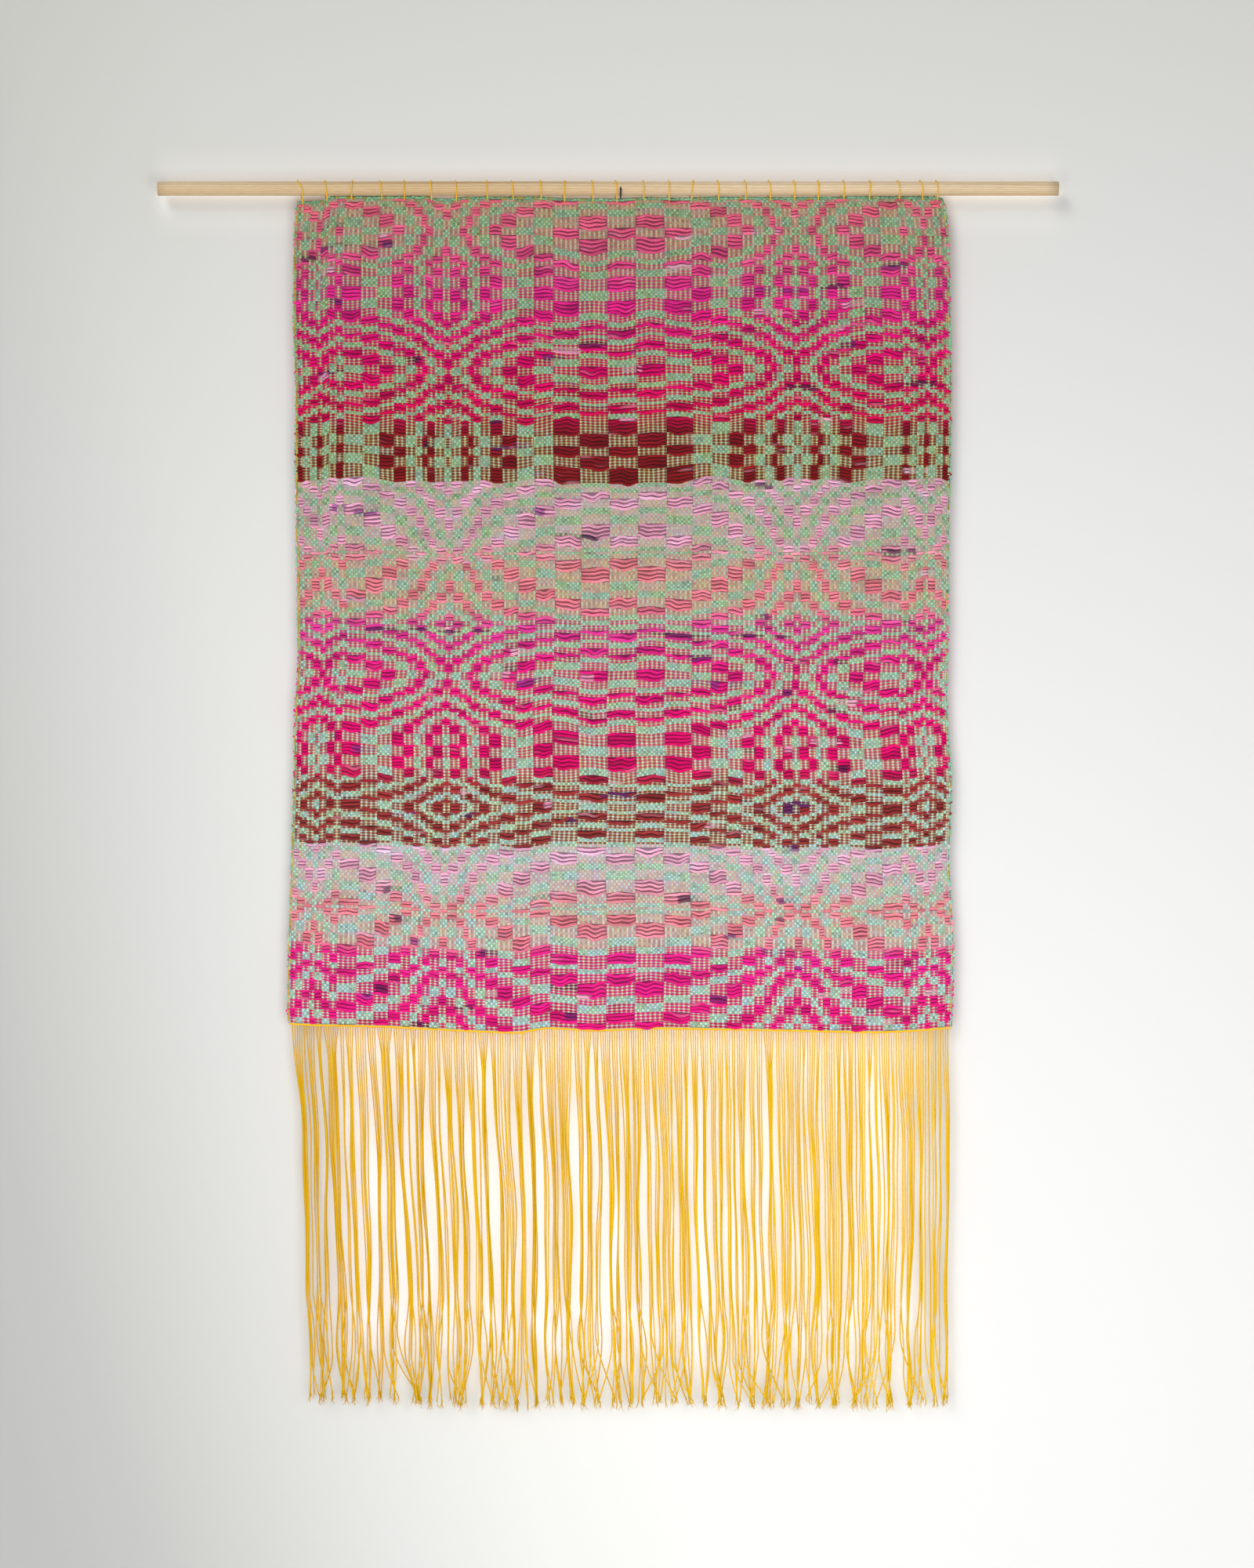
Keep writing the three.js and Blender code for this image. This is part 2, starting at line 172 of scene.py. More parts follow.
# The pattern yarn is dyed in long runs: the pick, the colour that it has there, and how thick it is.
DYE_RUNS = [
    (0, "#F6788A", 0.86), (20, "#F45C94", 0.95), (34, "#F22E98", 1.02), (52, "#EA0878", 1.1),
    (76, "#DA0258", 1.1), (82, "#941A26", 1.0), (99, "#8C1C1C", 1.0), (99.5, "#FFBCDA", 0.8),
    (120, "#FFB4D0", 0.78), (128, "#FF949E", 0.84), (144, "#FF8C9C", 0.88), (150, "#EC40A4", 1.0),
    (162, "#F4228E", 1.0), (178, "#F61082", 0.99), (200, "#E8086C", 0.98), (206, "#A43436", 1.0),
    (226.5, "#9A3C38", 1.0), (227, "#FFC2E0", 0.82), (240, "#FFB8D2", 0.8), (248, "#FF949E", 0.84),
    (262, "#FF90A2", 0.9), (265, "#FA2898", 1.12), (291, "#F61886", 1.16),
]
UNEVEN_DYE = 0.16
PALE_PATCH = "#F6B8CC"
PALE_COVER = 0.3
FLECKS = 150
FLECK_SEED = 41
FLECK_COLOURS = ["#2C2850", "#5A2C72", "#F8D2E0", "#F4B4D0", "#9A3C9A"]
FLECK_ODDS = [0.2, 0.2, 0.2, 0.25, 0.15]
FLECK_COVER = 0.75
# Long streaks of another colour: pick, from and to across in mm, and the colour.
STREAKS = [
    (33, 96, 190, "#B43C9C"),
    (118, -66, -22, "#2C2850"),
    (151, -262, -120, "#4A2C66"),
    (153, 30, 172, "#33305A"),
    (236, 140, 186, "#F8DCE8"),
]
STREAK_COVER = 0.8
SAME_PICK = 0.6
MINT_TOP = "#8CC49A"
MINT_FOOT = "#98D2C0"


def soft_noise(seed, *places):
    """Smooth noise, mostly between -1 and 1: a few sine waves, each with a random direction and phase, added
    up and divided by the root of their number."""
    waves = 7
    random = np.random.default_rng(seed)
    total = 0
    for _ in range(waves):
        turns = random.normal(size=len(places))
        phase = random.uniform(0, 2 * np.pi)
        total = total + np.sin(sum(turn * place for turn, place in zip(turns, places)) + phase)
    return total / np.sqrt(waves)


def eased(value, start, end):
    """0 before the start and 1 after the end, and three t squared less two t cubed between them."""
    share = np.clip((value - start) / (end - start), 0, 1)
    return share * share * (3 - 2 * share)


def yarn_colour(pick, across):
    """The pattern yarn's colour: its dye run at the pick, lighter and darker by soft noise along the yarn,
    with pale patches, short flecks of other colours at random picks, and the long streaks."""
    at, dyes, _ = zip(*DYE_RUNS)
    dyes = np.array([linear(dye) for dye in dyes])
    colour = np.stack([np.interp(pick, at, dyes[:, part]) for part in range(3)], axis=-1)
    colour = colour * (1 + UNEVEN_DYE * soft_noise(5, across / 16, pick / 1.3)[..., None])
    pale = eased(soft_noise(6, across / 9, pick / 0.7), 0.9, 1.9)[..., None]
    colour = colour + (linear(PALE_PATCH) - colour) * PALE_COVER * pale
    random = np.random.default_rng(FLECK_SEED)
    for _ in range(FLECKS):
        row = random.integers(2, PICKS)
        middle = random.uniform(-320, 320)
        reach = random.uniform(4, 16)
        fleck = linear(FLECK_COLOURS[random.choice(len(FLECK_COLOURS), p=FLECK_ODDS)])
        near = (np.abs(pick - row) < SAME_PICK) & (np.abs(across - middle) < reach)
        covered = (1 - FLECK_COVER) * colour + FLECK_COVER * fleck
        colour = np.where(near[..., None], covered, colour)
    for row, start, end, streak in STREAKS:
        near = (np.abs(pick - row - 0.5) < SAME_PICK) & (across > start) & (across < end)
        covered = (1 - STREAK_COVER) * colour + STREAK_COVER * linear(streak)
        colour = np.where(near[..., None], covered, colour)
    return np.clip(colour, 0.002, 1)


def yarn_thickness(pick):
    """How thick the pattern yarn is at a pick, read from its dye runs."""
    at, _, thickness = zip(*DYE_RUNS)
    return np.interp(pick, at, thickness)


def mint_colour(pick, across):
    """The mint weft, cooler and paler towards the hem, and lighter and darker along its length."""
    down = (pick / PICKS)[..., None]
    colour = linear(MINT_TOP) * (1 - down) + linear(MINT_FOOT) * down
    return np.clip(colour * (1 + 0.1 * soft_noise(33, across / 20, pick)[..., None]), 0, 1)


# The cloth's surface

HALF_THICKNESS = 0.7
ROW_WANDER = 0.55
END_WANDER = 0.35
BULGE_SHARE = 0.42
BULGE_ENDS = 4.0
BULGE_PICKS = 12.0
BULGE_EVENED = 0.8


def cloth_depth(across, drop):
    """How far towards the wall the cloth lies: the rod's depth, less each swell, which is a bell of its
    width and height. The swells fade out towards the rod."""
    forward = 0
    for swell_across, swell_drop, wide, tall, reach in SWELLS:
        aside = (across - swell_across) / wide
        below = (drop - swell_drop) / tall
        forward = forward + reach * np.exp(-aside * aside - below * below)
    return rod_depth - eased(drop, 5, 120) * forward


def smoothed(values, reach):
    """A mean along the last axis, weighted by a bell curve whose reach is in cells."""
    place = np.arange(values.shape[-1])
    weight = np.exp(-0.5 * ((place[:, None] - place) / reach) ** 2)
    return values @ (weight / weight.sum(axis=0))


def row_bulges():
    """How far the rows are pushed down, in picks, at each pick and end. A float takes more room than the
    ground. The room is summed down the cloth, less its mean across and its slow part, so that rows bulge
    round the blocks of floats."""
    room = np.repeat((shown == FLOAT) * 1.0 - (shown == GROUND), block_size, axis=1)
    room = smoothed(room - room.mean(axis=1, keepdims=True), BULGE_ENDS)
    pushed = np.cumsum(room, axis=0)
    pushed = pushed - smoothed(pushed.T, BULGE_PICKS).T
    return BULGE_SHARE * smoothed(pushed.T, BULGE_EVENED).T


bulges = row_bulges()


def bulge_at(end, pick):
    """The rows' bulge at any place, read between the four nearest cells in proportion."""
    column = np.clip(end - 0.5, 0, WARP_ENDS - 1.001)
    row = np.clip(pick - 1.0, 0, PICKS - 1.001)
    left = column.astype(int)
    above = row.astype(int)
    aside = column - left
    below = row - above
    upper = bulges[above, left] * (1 - aside) + bulges[above, left + 1] * aside
    lower = bulges[above + 1, left] * (1 - aside) + bulges[above + 1, left + 1] * aside
    return upper * (1 - below) + lower * below


def cloth_point(end, pick, forward):
    """A point of the cloth in mm from its warp end and pick, which wander a little by soft noise and bulge
    round the float blocks, and from how far it stands in front of the cloth's middle. Heights and edges are
    read from the tables."""
    end, pick, forward = np.broadcast_arrays(end, pick, forward)
    inside = eased(np.minimum(pick, PICKS - pick), 0, 12)
    pick = pick + inside * (ROW_WANDER * soft_noise(11, end / 14, pick / 30) + bulge_at(end, pick))
    beside = eased(np.minimum(end, WARP_ENDS - end), 0, 8)
    end = end + END_WANDER * beside * soft_noise(12, end / 25, pick / 20)
    share = end / WARP_ENDS
    station = top_across[0] + share * (top_across[-1] - top_across[0])
    hem_station = hem_across[0] + share * (hem_across[-1] - hem_across[0])
    high = np.interp(station, top_across, top_height)
    low = np.interp(hem_station, hem_across, hem_height)
    z = high + (low - high) * pick / PICKS
    left = np.interp(-z, edge_drop, edge_left)
    right = np.interp(-z, edge_drop, edge_right)
    x = left + (right - left) * share
    return np.stack([x, cloth_depth(x, -z) - forward, z], axis=-1)


# Meshes from arrays. A shape is its points in mm, faces of four corners, corner UVs and the points' tints.

def in_scene(name, data):
    """A new object of the scene, made from its data."""
    made = bpy.data.objects.new(name, data)
    bpy.context.scene.collection.objects.link(made)
    return made


def add_values(mesh, name, domain, values):
    """Values for each point or face of a mesh: colours where each has three parts, or else numbers."""
    if values.ndim == 2:
        layer = mesh.attributes.new(name, "FLOAT_COLOR", domain)
        opaque = np.concatenate([values, np.ones((len(values), 1))], axis=1)
        layer.data.foreach_set("color", opaque.astype(np.float32).ravel())
    else:
        layer = mesh.attributes.new(name, "FLOAT", domain)
        layer.data.foreach_set("value", values.astype(np.float32).ravel())


def add_piece(name, shape, material, face_values=None):
    """One smooth mesh object at the origin from a shape, with its material, slot and values for each face.
    It rides on the part's one body."""
    points, faces, uv, tint = shape
    mesh = bpy.data.meshes.new(name)
    mesh.vertices.add(len(points))
    mesh.vertices.foreach_set("co", (points * MM).astype(np.float32).ravel())
    mesh.loops.add(faces.size)
    mesh.loops.foreach_set("vertex_index", faces.astype(np.int32).ravel())
    mesh.polygons.add(len(faces))
    mesh.polygons.foreach_set("loop_start", np.arange(0, faces.size, 4, dtype=np.int32))
    mesh.polygons.foreach_set("use_smooth", np.ones(len(faces), dtype=bool))
    mesh.update(calc_edges=True)
    mesh.uv_layers.new(name="lay").uv.foreach_set("vector", uv.astype(np.float32).ravel())
    if tint is not None:
        add_values(mesh, "tint", "POINT", tint)
    for key, values in (face_values or {}).items():
        add_values(mesh, key, "FACE", values)
    mesh.materials.append(material)
    piece = in_scene(name, mesh)
    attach(piece, "root")
    return piece


def ways_across(paths, outward):
    """Two directions at each point of the paths, square to the path and to each other: one beside it, and
    the one nearest to the outward way."""
    tangent = np.gradient(paths, axis=1)
    tangent /= np.linalg.norm(tangent, axis=-1, keepdims=True)
    outward = np.broadcast_to(np.asarray(outward, float), paths.shape)
    beside = np.cross(tangent, outward)
    beside /= np.linalg.norm(beside, axis=-1, keepdims=True)
    return beside, np.cross(beside, tangent)


def length_along(paths):
    """How far along its path each point lies: the sum of the steps up to it."""
    step = np.linalg.norm(np.diff(paths, axis=1), axis=-1)
    return np.concatenate([np.zeros((len(paths), 1)), np.cumsum(step, axis=1)], axis=1)


def tubes(paths, tall, deep, sides, tint=None, outward=TO_VIEWER):
    """Closed tubes along many paths at once, as one shape. Each ring is an ellipse across the path, with
    one half-width along the outward way and the other square to it, and both ends are closed. The paths
    are tubes by rings by 3, and a tint is for each ring. The UVs are the share of the way round, and metres
    along the path."""
    count, rings = paths.shape[:2]
    beside, outward = ways_across(paths, outward)
    angle = np.arange(sides) / sides * 2 * np.pi
    tall = np.broadcast_to(tall, (count, rings))[..., None, None]
    deep = np.broadcast_to(deep, (count, rings))[..., None, None]
    ring = (
        beside[:, :, None, :] * tall * np.cos(angle)[:, None]
        + outward[:, :, None, :] * deep * np.sin(angle)[:, None]
    )
    points = (paths[:, :, None, :] + ring).reshape(-1, 3)
    number = np.arange(count * rings * sides).reshape(count, rings, sides)
    here = number[:, :-1]
    there = number[:, 1:]
    walls = np.stack([here, there, np.roll(there, -1, axis=2), np.roll(here, -1, axis=2)], axis=-1)
    turn = np.arange(1, sides // 2)
    fan = np.stack([0 * turn, 2 * turn - 1, 2 * turn, (2 * turn + 1) % sides], axis=-1)
    first = number[:, 0][:, fan]
    last = number[:, -1][:, fan][..., ::-1]
    faces = np.concatenate([walls.reshape(-1, 4), first.reshape(-1, 4), last.reshape(-1, 4)])
    along = length_along(paths) * MM
    near = np.broadcast_to(along[:, :-1, None], here.shape)
    far = np.broadcast_to(along[:, 1:, None], here.shape)
    side = np.broadcast_to(np.arange(sides) / sides, here.shape)
    corners = ((side, near), (side, far), (side + 1 / sides, far), (side + 1 / sides, near))
    wall_uv = np.stack([np.stack(corner, -1) for corner in corners], axis=-2)
    uv = np.concatenate([wall_uv.reshape(-1, 4, 2), np.zeros((len(faces) - here.size, 4, 2))])
    if tint is not None:
        tint = np.repeat(np.broadcast_to(tint, paths.shape).reshape(-1, 3), sides, axis=0)
    return points, faces, uv, tint


def gathered_up(parts):
    """Many shapes as one, with each one's faces counted on from the points before it."""
    points, faces, uvs, tints = zip(*parts)
    before = np.cumsum([0] + [len(part) for part in points[:-1]])
    faces = [part + start for part, start in zip(faces, before)]
    return tuple(np.concatenate(arrays) for arrays in (points, faces, uvs, tints))


def twisted(middle, outward, plies, offset, pitch):
    """The paths of plies that wind round a middle line: each goes round it once in every pitch."""
    beside, outward = ways_across(middle, outward)
    along = length_along(middle)
    result = []
    for ply in range(plies):
        angle = (along / pitch + ply / plies) * 2 * np.pi
        shift = beside * np.cos(angle)[..., None] + outward * np.sin(angle)[..., None]
        result.append(middle + offset * shift)
    return np.concatenate(result)


# Materials

MIXED = {"data_type": "RGBA"}
MULTIPLIED = {"data_type": "RGBA", "blend_type": "MULTIPLY"}
SMOOTH = {"interpolation_type": "SMOOTHSTEP"}
WAVE_RANGE = {"From Min": -1.0, "From Max": 1.0}


def rgba(colour):
    """A hex colour as four linear numbers."""
    return (*linear(colour), 1.0)


def add_node(tree, kind, *inputs, stops=(), **settings):
    """One node with its settings and links, its kind named without the ShaderNode that all begin with.
    The inputs go to its first sockets in turn, or to named live ones from a dict. Each is a value, a socket,
    or a node whose first live output is linked. Stops are a colour ramp's places and hex colours."""
    made = tree.nodes.new("ShaderNode" + kind)
    for name, value in settings.items():
        setattr(made, name, value)
    for _ in stops[2:]:
        made.color_ramp.elements.new(1.0)
    for index, (place, colour) in enumerate(stops):
        made.color_ramp.elements[index].position = place
        made.color_ramp.elements[index].color = rgba(colour)
    live = {socket.name: socket for socket in made.inputs.values()[::-1] if socket.enabled}
    for place, given in enumerate(inputs):
        named = given if isinstance(given, dict) else {place: given}
        for key, value in named.items():
            socket = live[key] if isinstance(key, str) else made.inputs[key]
            if isinstance(value, bpy.types.Node):
                value = next(output for output in value.outputs if output.enabled)
            if isinstance(value, bpy.types.NodeSocket):
                tree.links.new(value, socket)
            else:
                socket.default_value = value
    return made


def new_material(name):
    """An empty node material, and add_node for its own tree."""
    material = bpy.data.materials.new(name)
    material.use_nodes = True
    material.node_tree.nodes.clear()
    return material, partial(add_node, material.node_tree)


def matt_surface(add, colour, roughness, shine, height, strength, distance):
    """The end of a material: its colour, roughness and shine, with bumps that rise by the distance in metres
    for a height of 1 and are softened by the strength."""
    bump = add("Bump", {"Strength": strength, "Distance": distance, "Height": height})
    surface = add("BsdfPrincipled", {
        "Base Color": colour, "Roughness": roughness, "Specular IOR Level": shine, "Normal": bump,
    })
    add("OutputMaterial", surface)


def woven_cotton():
    """Mint cotton weft over golden cotton warp, hand woven: a fine checker of soft matt beads with the warp
    between them, with painted shade between the beads and under the floats. In a half-tone, pale beads stand
    in columns and dashes of the pattern yarn lie between."""
    material, add = new_material("woven_cotton_weft_on_golden_warp")
    lay = add("UVMap", uv_map="lay")
    place = add("TexCoord").outputs["Object"]

    # Where on its thread a place lies, from waves that cross once at each end and each pick.
    wander = add("TexNoise", {"Vector": place, "Scale": 90.0, "Detail": 2.0}).outputs["Color"]
    shift = add("VectorMath", wander, (0.5, 0.5, 0.5), operation="SUBTRACT")
    shift = add("VectorMath", shift, (0.55, 0.4, 0.0), operation="MULTIPLY")
    threads = add("VectorMath", lay, (WARP_ENDS, PICKS, 0.0), operation="MULTIPLY")
    threads = add("VectorMath", threads, shift, operation="ADD")
    turns = add("VectorMath", threads, (np.pi, np.pi, 0.0), operation="MULTIPLY")
    waves = add("VectorMath", turns, operation="SINE")
    waves = add("SeparateXYZ", waves)
    over_ends = waves.outputs["X"]
    over_picks = waves.outputs["Y"]
    checker = add("Math", over_ends, over_picks, operation="MULTIPLY")
    row = add("Math", over_picks, over_picks, operation="MULTIPLY")
    column = add("MapRange", {"Value": over_ends, **WAVE_RANGE})

    # The mint beads of the ground and of the half-tones, darker and warmer towards the top, each with its
    # own tone. Their ramps paint shade: darker between the beads, palest on their crowns.
    checker_share = add("MapRange", {"Value": checker, **WAVE_RANGE})
    ground = add("ValToRGB", checker_share, stops=[
        (0.0, "#CEC4A8"), (0.2, "#B4BCA8"), (0.36, "#88A8A0"), (0.55, "#A7D5C6"), (1.0, "#CFF7F0"),
    ])
    beads = add("ValToRGB", column, stops=[
        (0.0, "#A89078"), (0.24, "#A89C8A"), (0.4, "#9EA89C"), (0.62, "#BAD4C4"), (1.0, "#E2F6EA"),
    ])
    down = add("SeparateXYZ", lay).outputs["Y"]
    warmer = add("ValToRGB", down, stops=[
        (0.0, "#D9DCC0"), (0.3, "#DFE2CA"), (0.48, "#E8EADA"), (0.75, "#F6F6F8"), (1.0, "#F8F4FF"),
    ])
    bead = add("VectorMath", threads, operation="FLOOR")
    bead_noise = add("TexWhiteNoise", {"Vector": bead}).outputs["Value"]
    bead_tone = add("ValToRGB", bead_noise, stops=[(0.0, "#D2C8C0"), (0.4, "#F6F4F0"), (1.0, "#FFFFFF")])
    patches = add("TexNoise", {"Vector": place, "Scale": 60.0, "Detail": 2.0})
    patches = add("ValToRGB", patches, stops=[(0.35, "#FAFCE2"), (0.65, "#F0F4FF")])
    for tone in (bead_tone, patches):
        warmer = add("Mix", {"Factor": 1.0, "A": warmer, "B": tone}, **MULTIPLIED)
    ground = add("Mix", {"Factor": 1.0, "A": ground, "B": warmer}, **MULTIPLIED)
    beads = add("Mix", {"Factor": 1.0, "A": beads, "B": warmer}, **MULTIPLIED)

    # A bold half-tone, where the pattern yarn is thick: its dashes cross the beads.
    yarn = add("Attribute", attribute_name="yarn").outputs["Color"]
    fullness = add("Attribute", attribute_name="fullness").outputs["Fac"]
    dash_share = add("MapRange", {"Value": row, "From Min": 0.1, "From Max": 0.5}, **SMOOTH)
    dash_share = add("Math", dash_share, fullness, operation="MULTIPLY")
    dash = add("Mix", {"Factor": 1.0, "A": yarn, "B": rgba("#C4BCC4")}, **MULTIPLIED)
    warp_share = add("MapRange", {"Value": column, "From Min": 0.6, "From Max": 0.95, "To Max": 0.5})
    dash = add("Mix", {"Factor": warp_share, "A": dash, "B": rgba("#D09A40")}, **MIXED)
    half_tone = add("Mix", {"Factor": dash_share, "A": beads, "B": dash}, **MIXED)

    # A faint one, where the yarn is thin: pale yarn between the ground's beads, and glimpses of the warp.
    pale_yarn = add("Mix", {"Factor": 1.0, "A": yarn, "B": rgba("#D8CCD0")}, **MULTIPLIED)
    apart = {"From Min": 0.35, "From Max": -0.3, "To Min": 0.22, "To Max": 0.6}
    between = add("MapRange", {"Value": checker, **apart})
    faint = add("Mix", {"Factor": between, "A": ground, "B": pale_yarn}, **MIXED)
    glimpse = add("MapRange", {"Value": bead_noise, "From Min": 0.62, "From Max": 0.8, "To Max": 0.34})
    faint = add("Mix", {"Factor": glimpse, "A": faint, "B": rgba("#C89A50")}, **MIXED)
    bold = add("MapRange", {"Value": fullness, "From Min": 0.2, "From Max": 0.75})
    half_tone = add("Mix", {"Factor": bold, "A": faint, "B": half_tone}, **MIXED)

    # Each cell of the draft shows its kind, and what lies under the floats is painted shade, near black.
    is_ground = add("Attribute", attribute_name="ground").outputs["Fac"]
    is_half = add("Attribute", attribute_name="half_tone").outputs["Fac"]
    painted_shade_under_floats = add("Mix", {"Factor": 0.75, "A": yarn, "B": rgba("#201018")}, **MIXED)
    colour = add("Mix", {"Factor": is_half, "A": painted_shade_under_floats, "B": half_tone}, **MIXED)
    colour = add("Mix", {"Factor": is_ground, "A": colour, "B": ground}, **MIXED)
    fibre = add("TexNoise", {"Vector": place, "Scale": 1400.0, "Detail": 3.0})
    worn = add("ValToRGB", fibre, stops=[(0.3, "#D8D8D8"), (0.7, "#FFFFFF")])
    colour = add("Mix", {"Factor": 1.0, "A": colour, "B": worn}, **MULTIPLIED)
    ground_height = add("Math", checker, operation="ABSOLUTE")
    half_height = add("Mix", {"Factor": dash_share, "A": column, "B": 0.45})
    half_height = add("Mix", {"Factor": bold, "A": ground_height, "B": half_height})
    height = add("Mix", {"Factor": is_ground, "A": half_height, "B": ground_height})
    matt_surface(add, colour, roughness=0.95, shine=0.15, height=height, strength=0.9, distance=0.0005)
    return material


def spun_yarn(name, roughness, ply_pitch, doubled=False):
    """A spun yarn: matt and slightly hairy, with plies that wind round it and show as slanting ridges, with
    painted shade in the grooves between them. A doubled one has a dark line of painted shade between its two
    strands along its front and back, and painted shade along its upper and lower sides."""
    material, add = new_material(name)
    lay = add("SeparateXYZ", add("UVMap", uv_map="lay"))
    place = add("TexCoord").outputs["Object"]
    around = add("Math", lay.outputs["X"], 2.0, operation="MULTIPLY")
    along = add("Math", lay.outputs["Y"], 1.0 / (ply_pitch * MM), operation="MULTIPLY")
    turn = add("Math", around, along, operation="ADD")
    turn = add("Math", turn, 2 * np.pi, operation="MULTIPLY")
    ply = add("Math", turn, operation="SINE")
    ply = add("MapRange", {"Value": ply, **WAVE_RANGE})
    fibre = add("TexNoise", {"Vector": place, "Scale": 1100.0, "Detail": 3.0})
    shaded = add("Attribute", attribute_name="tint").outputs["Color"]
    # Painted shade: the grooves between the plies are darker.
    ply_groove_shade = add("ValToRGB", ply, stops=[(0.0, "#B8B0AC"), (0.35, "#F2F2F2"), (1.0, "#FFFFFF")])
    worn = add("ValToRGB", fibre, stops=[(0.3, "#E4E4E4"), (0.7, "#FFFFFF")])
    layers = [(0.35, ply_groove_shade), (1.0, worn)]
    # Painted shade: a dark line between the two strands, and darker upper and lower sides where floats meet.
    if doubled:
        half = add("Math", lay.outputs["X"], 0.5, operation="MODULO")
        layers.append((1.0, add("ValToRGB", half, stops=[
            (0.0, "#DCCAD2"), (0.13, "#FFFFFF"), (0.2, "#FFFFFF"), (0.245, "#AC8A9C"),
            (0.255, "#AC8A9C"), (0.3, "#FFFFFF"), (0.37, "#FFFFFF"), (0.5, "#DCCAD2"),
        ])))
    for strength, layer in layers:
        shaded = add("Mix", {"Factor": strength, "A": shaded, "B": layer}, **MULTIPLIED)
    height = add("Math", ply, fibre, operation="ADD")
    matt_surface(add, shaded, roughness, shine=0.12, height=height, strength=0.5, distance=0.0002)
    return material


def pale_dowel_wood():
    """A sanded dowel of pale hardwood, bare: growth rings cut lengthwise give long faint streaks on its
    side and arcs on its cut ends, with fine short pores along the grain."""
    material, add = new_material("bare_pale_dowel_wood")
    place = add("TexCoord").outputs["Object"]
    stretched = add("Mapping", {"Vector": place, "Scale": (2.2, 60.0, 60.0)})
    bend = add("TexNoise", {"Vector": stretched, "Scale": 1.0, "Detail": 2.0})
    centred = add("Mapping", {"Vector": place, "Location": (0.0, -0.002, 0.019)})
    flat = add("VectorMath", centred, (0.0, 1.0, 1.0), operation="MULTIPLY")
    radius = add("VectorMath", flat, operation="LENGTH").outputs["Value"]
    bend = add("Math", bend, 0.006, operation="MULTIPLY")
    radius = add("Math", radius, bend, operation="ADD")
    ring_width = 0.0021
    rings = add("Math", radius, 2 * np.pi / ring_width, operation="MULTIPLY")
    rings = add("Math", rings, operation="SINE")
    rings = add("MapRange", {"Value": rings, **WAVE_RANGE})
    grain = add("ValToRGB", rings, stops=[(0.0, "#DAC6A8"), (0.7, "#D4BE9C"), (1.0, "#C6AE88")])
    fine = add("Mapping", {"Vector": place, "Scale": (90.0, 2600.0, 2600.0)})
    pores = add("TexNoise", {"Vector": fine, "Scale": 1.0, "Detail": 3.0})
    streaks = add("ValToRGB", pores, stops=[(0.35, "#D2BC9C"), (0.55, "#FFFFFF")])
    colour = add("Mix", {"Factor": 0.35, "A": grain, "B": streaks}, **MULTIPLIED)
    long_tone = add("TexNoise", {"Vector": stretched, "Scale": 0.8, "Detail": 1.0})
    tone = add("ValToRGB", long_tone, stops=[(0.35, "#F0E4D0"), (0.65, "#FFFFFF")])
    colour = add("Mix", {"Factor": 1.0, "A": colour, "B": tone}, **MULTIPLIED)
    matt_surface(add, colour, roughness=0.62, shine=0.35, height=pores, strength=0.25, distance=0.0001)
    return material


def dark_wire():
    """Steel wire with a dark oxide skin, drawn and bent: dull, with faint lighter rubs."""
    material, add = new_material("oxidised_steel_wire")
    place = add("TexCoord").outputs["Object"]
    rub = add("TexNoise", {"Vector": place, "Scale": 900.0, "Detail": 4.0})
    colour = add("ValToRGB", rub, stops=[(0.35, "#24251F"), (0.65, "#4A4B40")])
    rough = add("MapRange", {"Value": rub, "To Min": 0.38, "To Max": 0.6})
    bump = add("Bump", {"Strength": 0.3, "Distance": 0.00005, "Height": rub})
    wire = add("BsdfPrincipled", {
        "Base Color": colour, "Metallic": 0.85, "Roughness": rough, "Normal": bump,
    })
    add("OutputMaterial", wire)
    return material


weave_finish = woven_cotton()
pattern_finish = spun_yarn("soft_spun_pattern_yarn", 0.9, 5.0, doubled=True)
weft_finish = spun_yarn("mint_cotton_weft", 0.9, 2.6)
gold_finish = spun_yarn("plied_golden_cotton", 0.85, 2.2)
wood_finish = pale_dowel_wood()
wire_finish = dark_wire()


# The woven sheet

WIDEST_CELL = 6
# How far each kind of cell stands out of the mean surface: a float, a half-tone, the ground, a half-tone.
PROUD = np.array([0.25, 0.12, -0.12, 0.12])


def corner_mean(cells):
    """The value at each corner of a grid of cells: the mean of the cells round it."""
    padded = np.pad(cells, 1, mode="edge")
    return (padded[:-1, :-1] + padded[1:, :-1] + padded[:-1, 1:] + padded[1:, 1:]) / 4


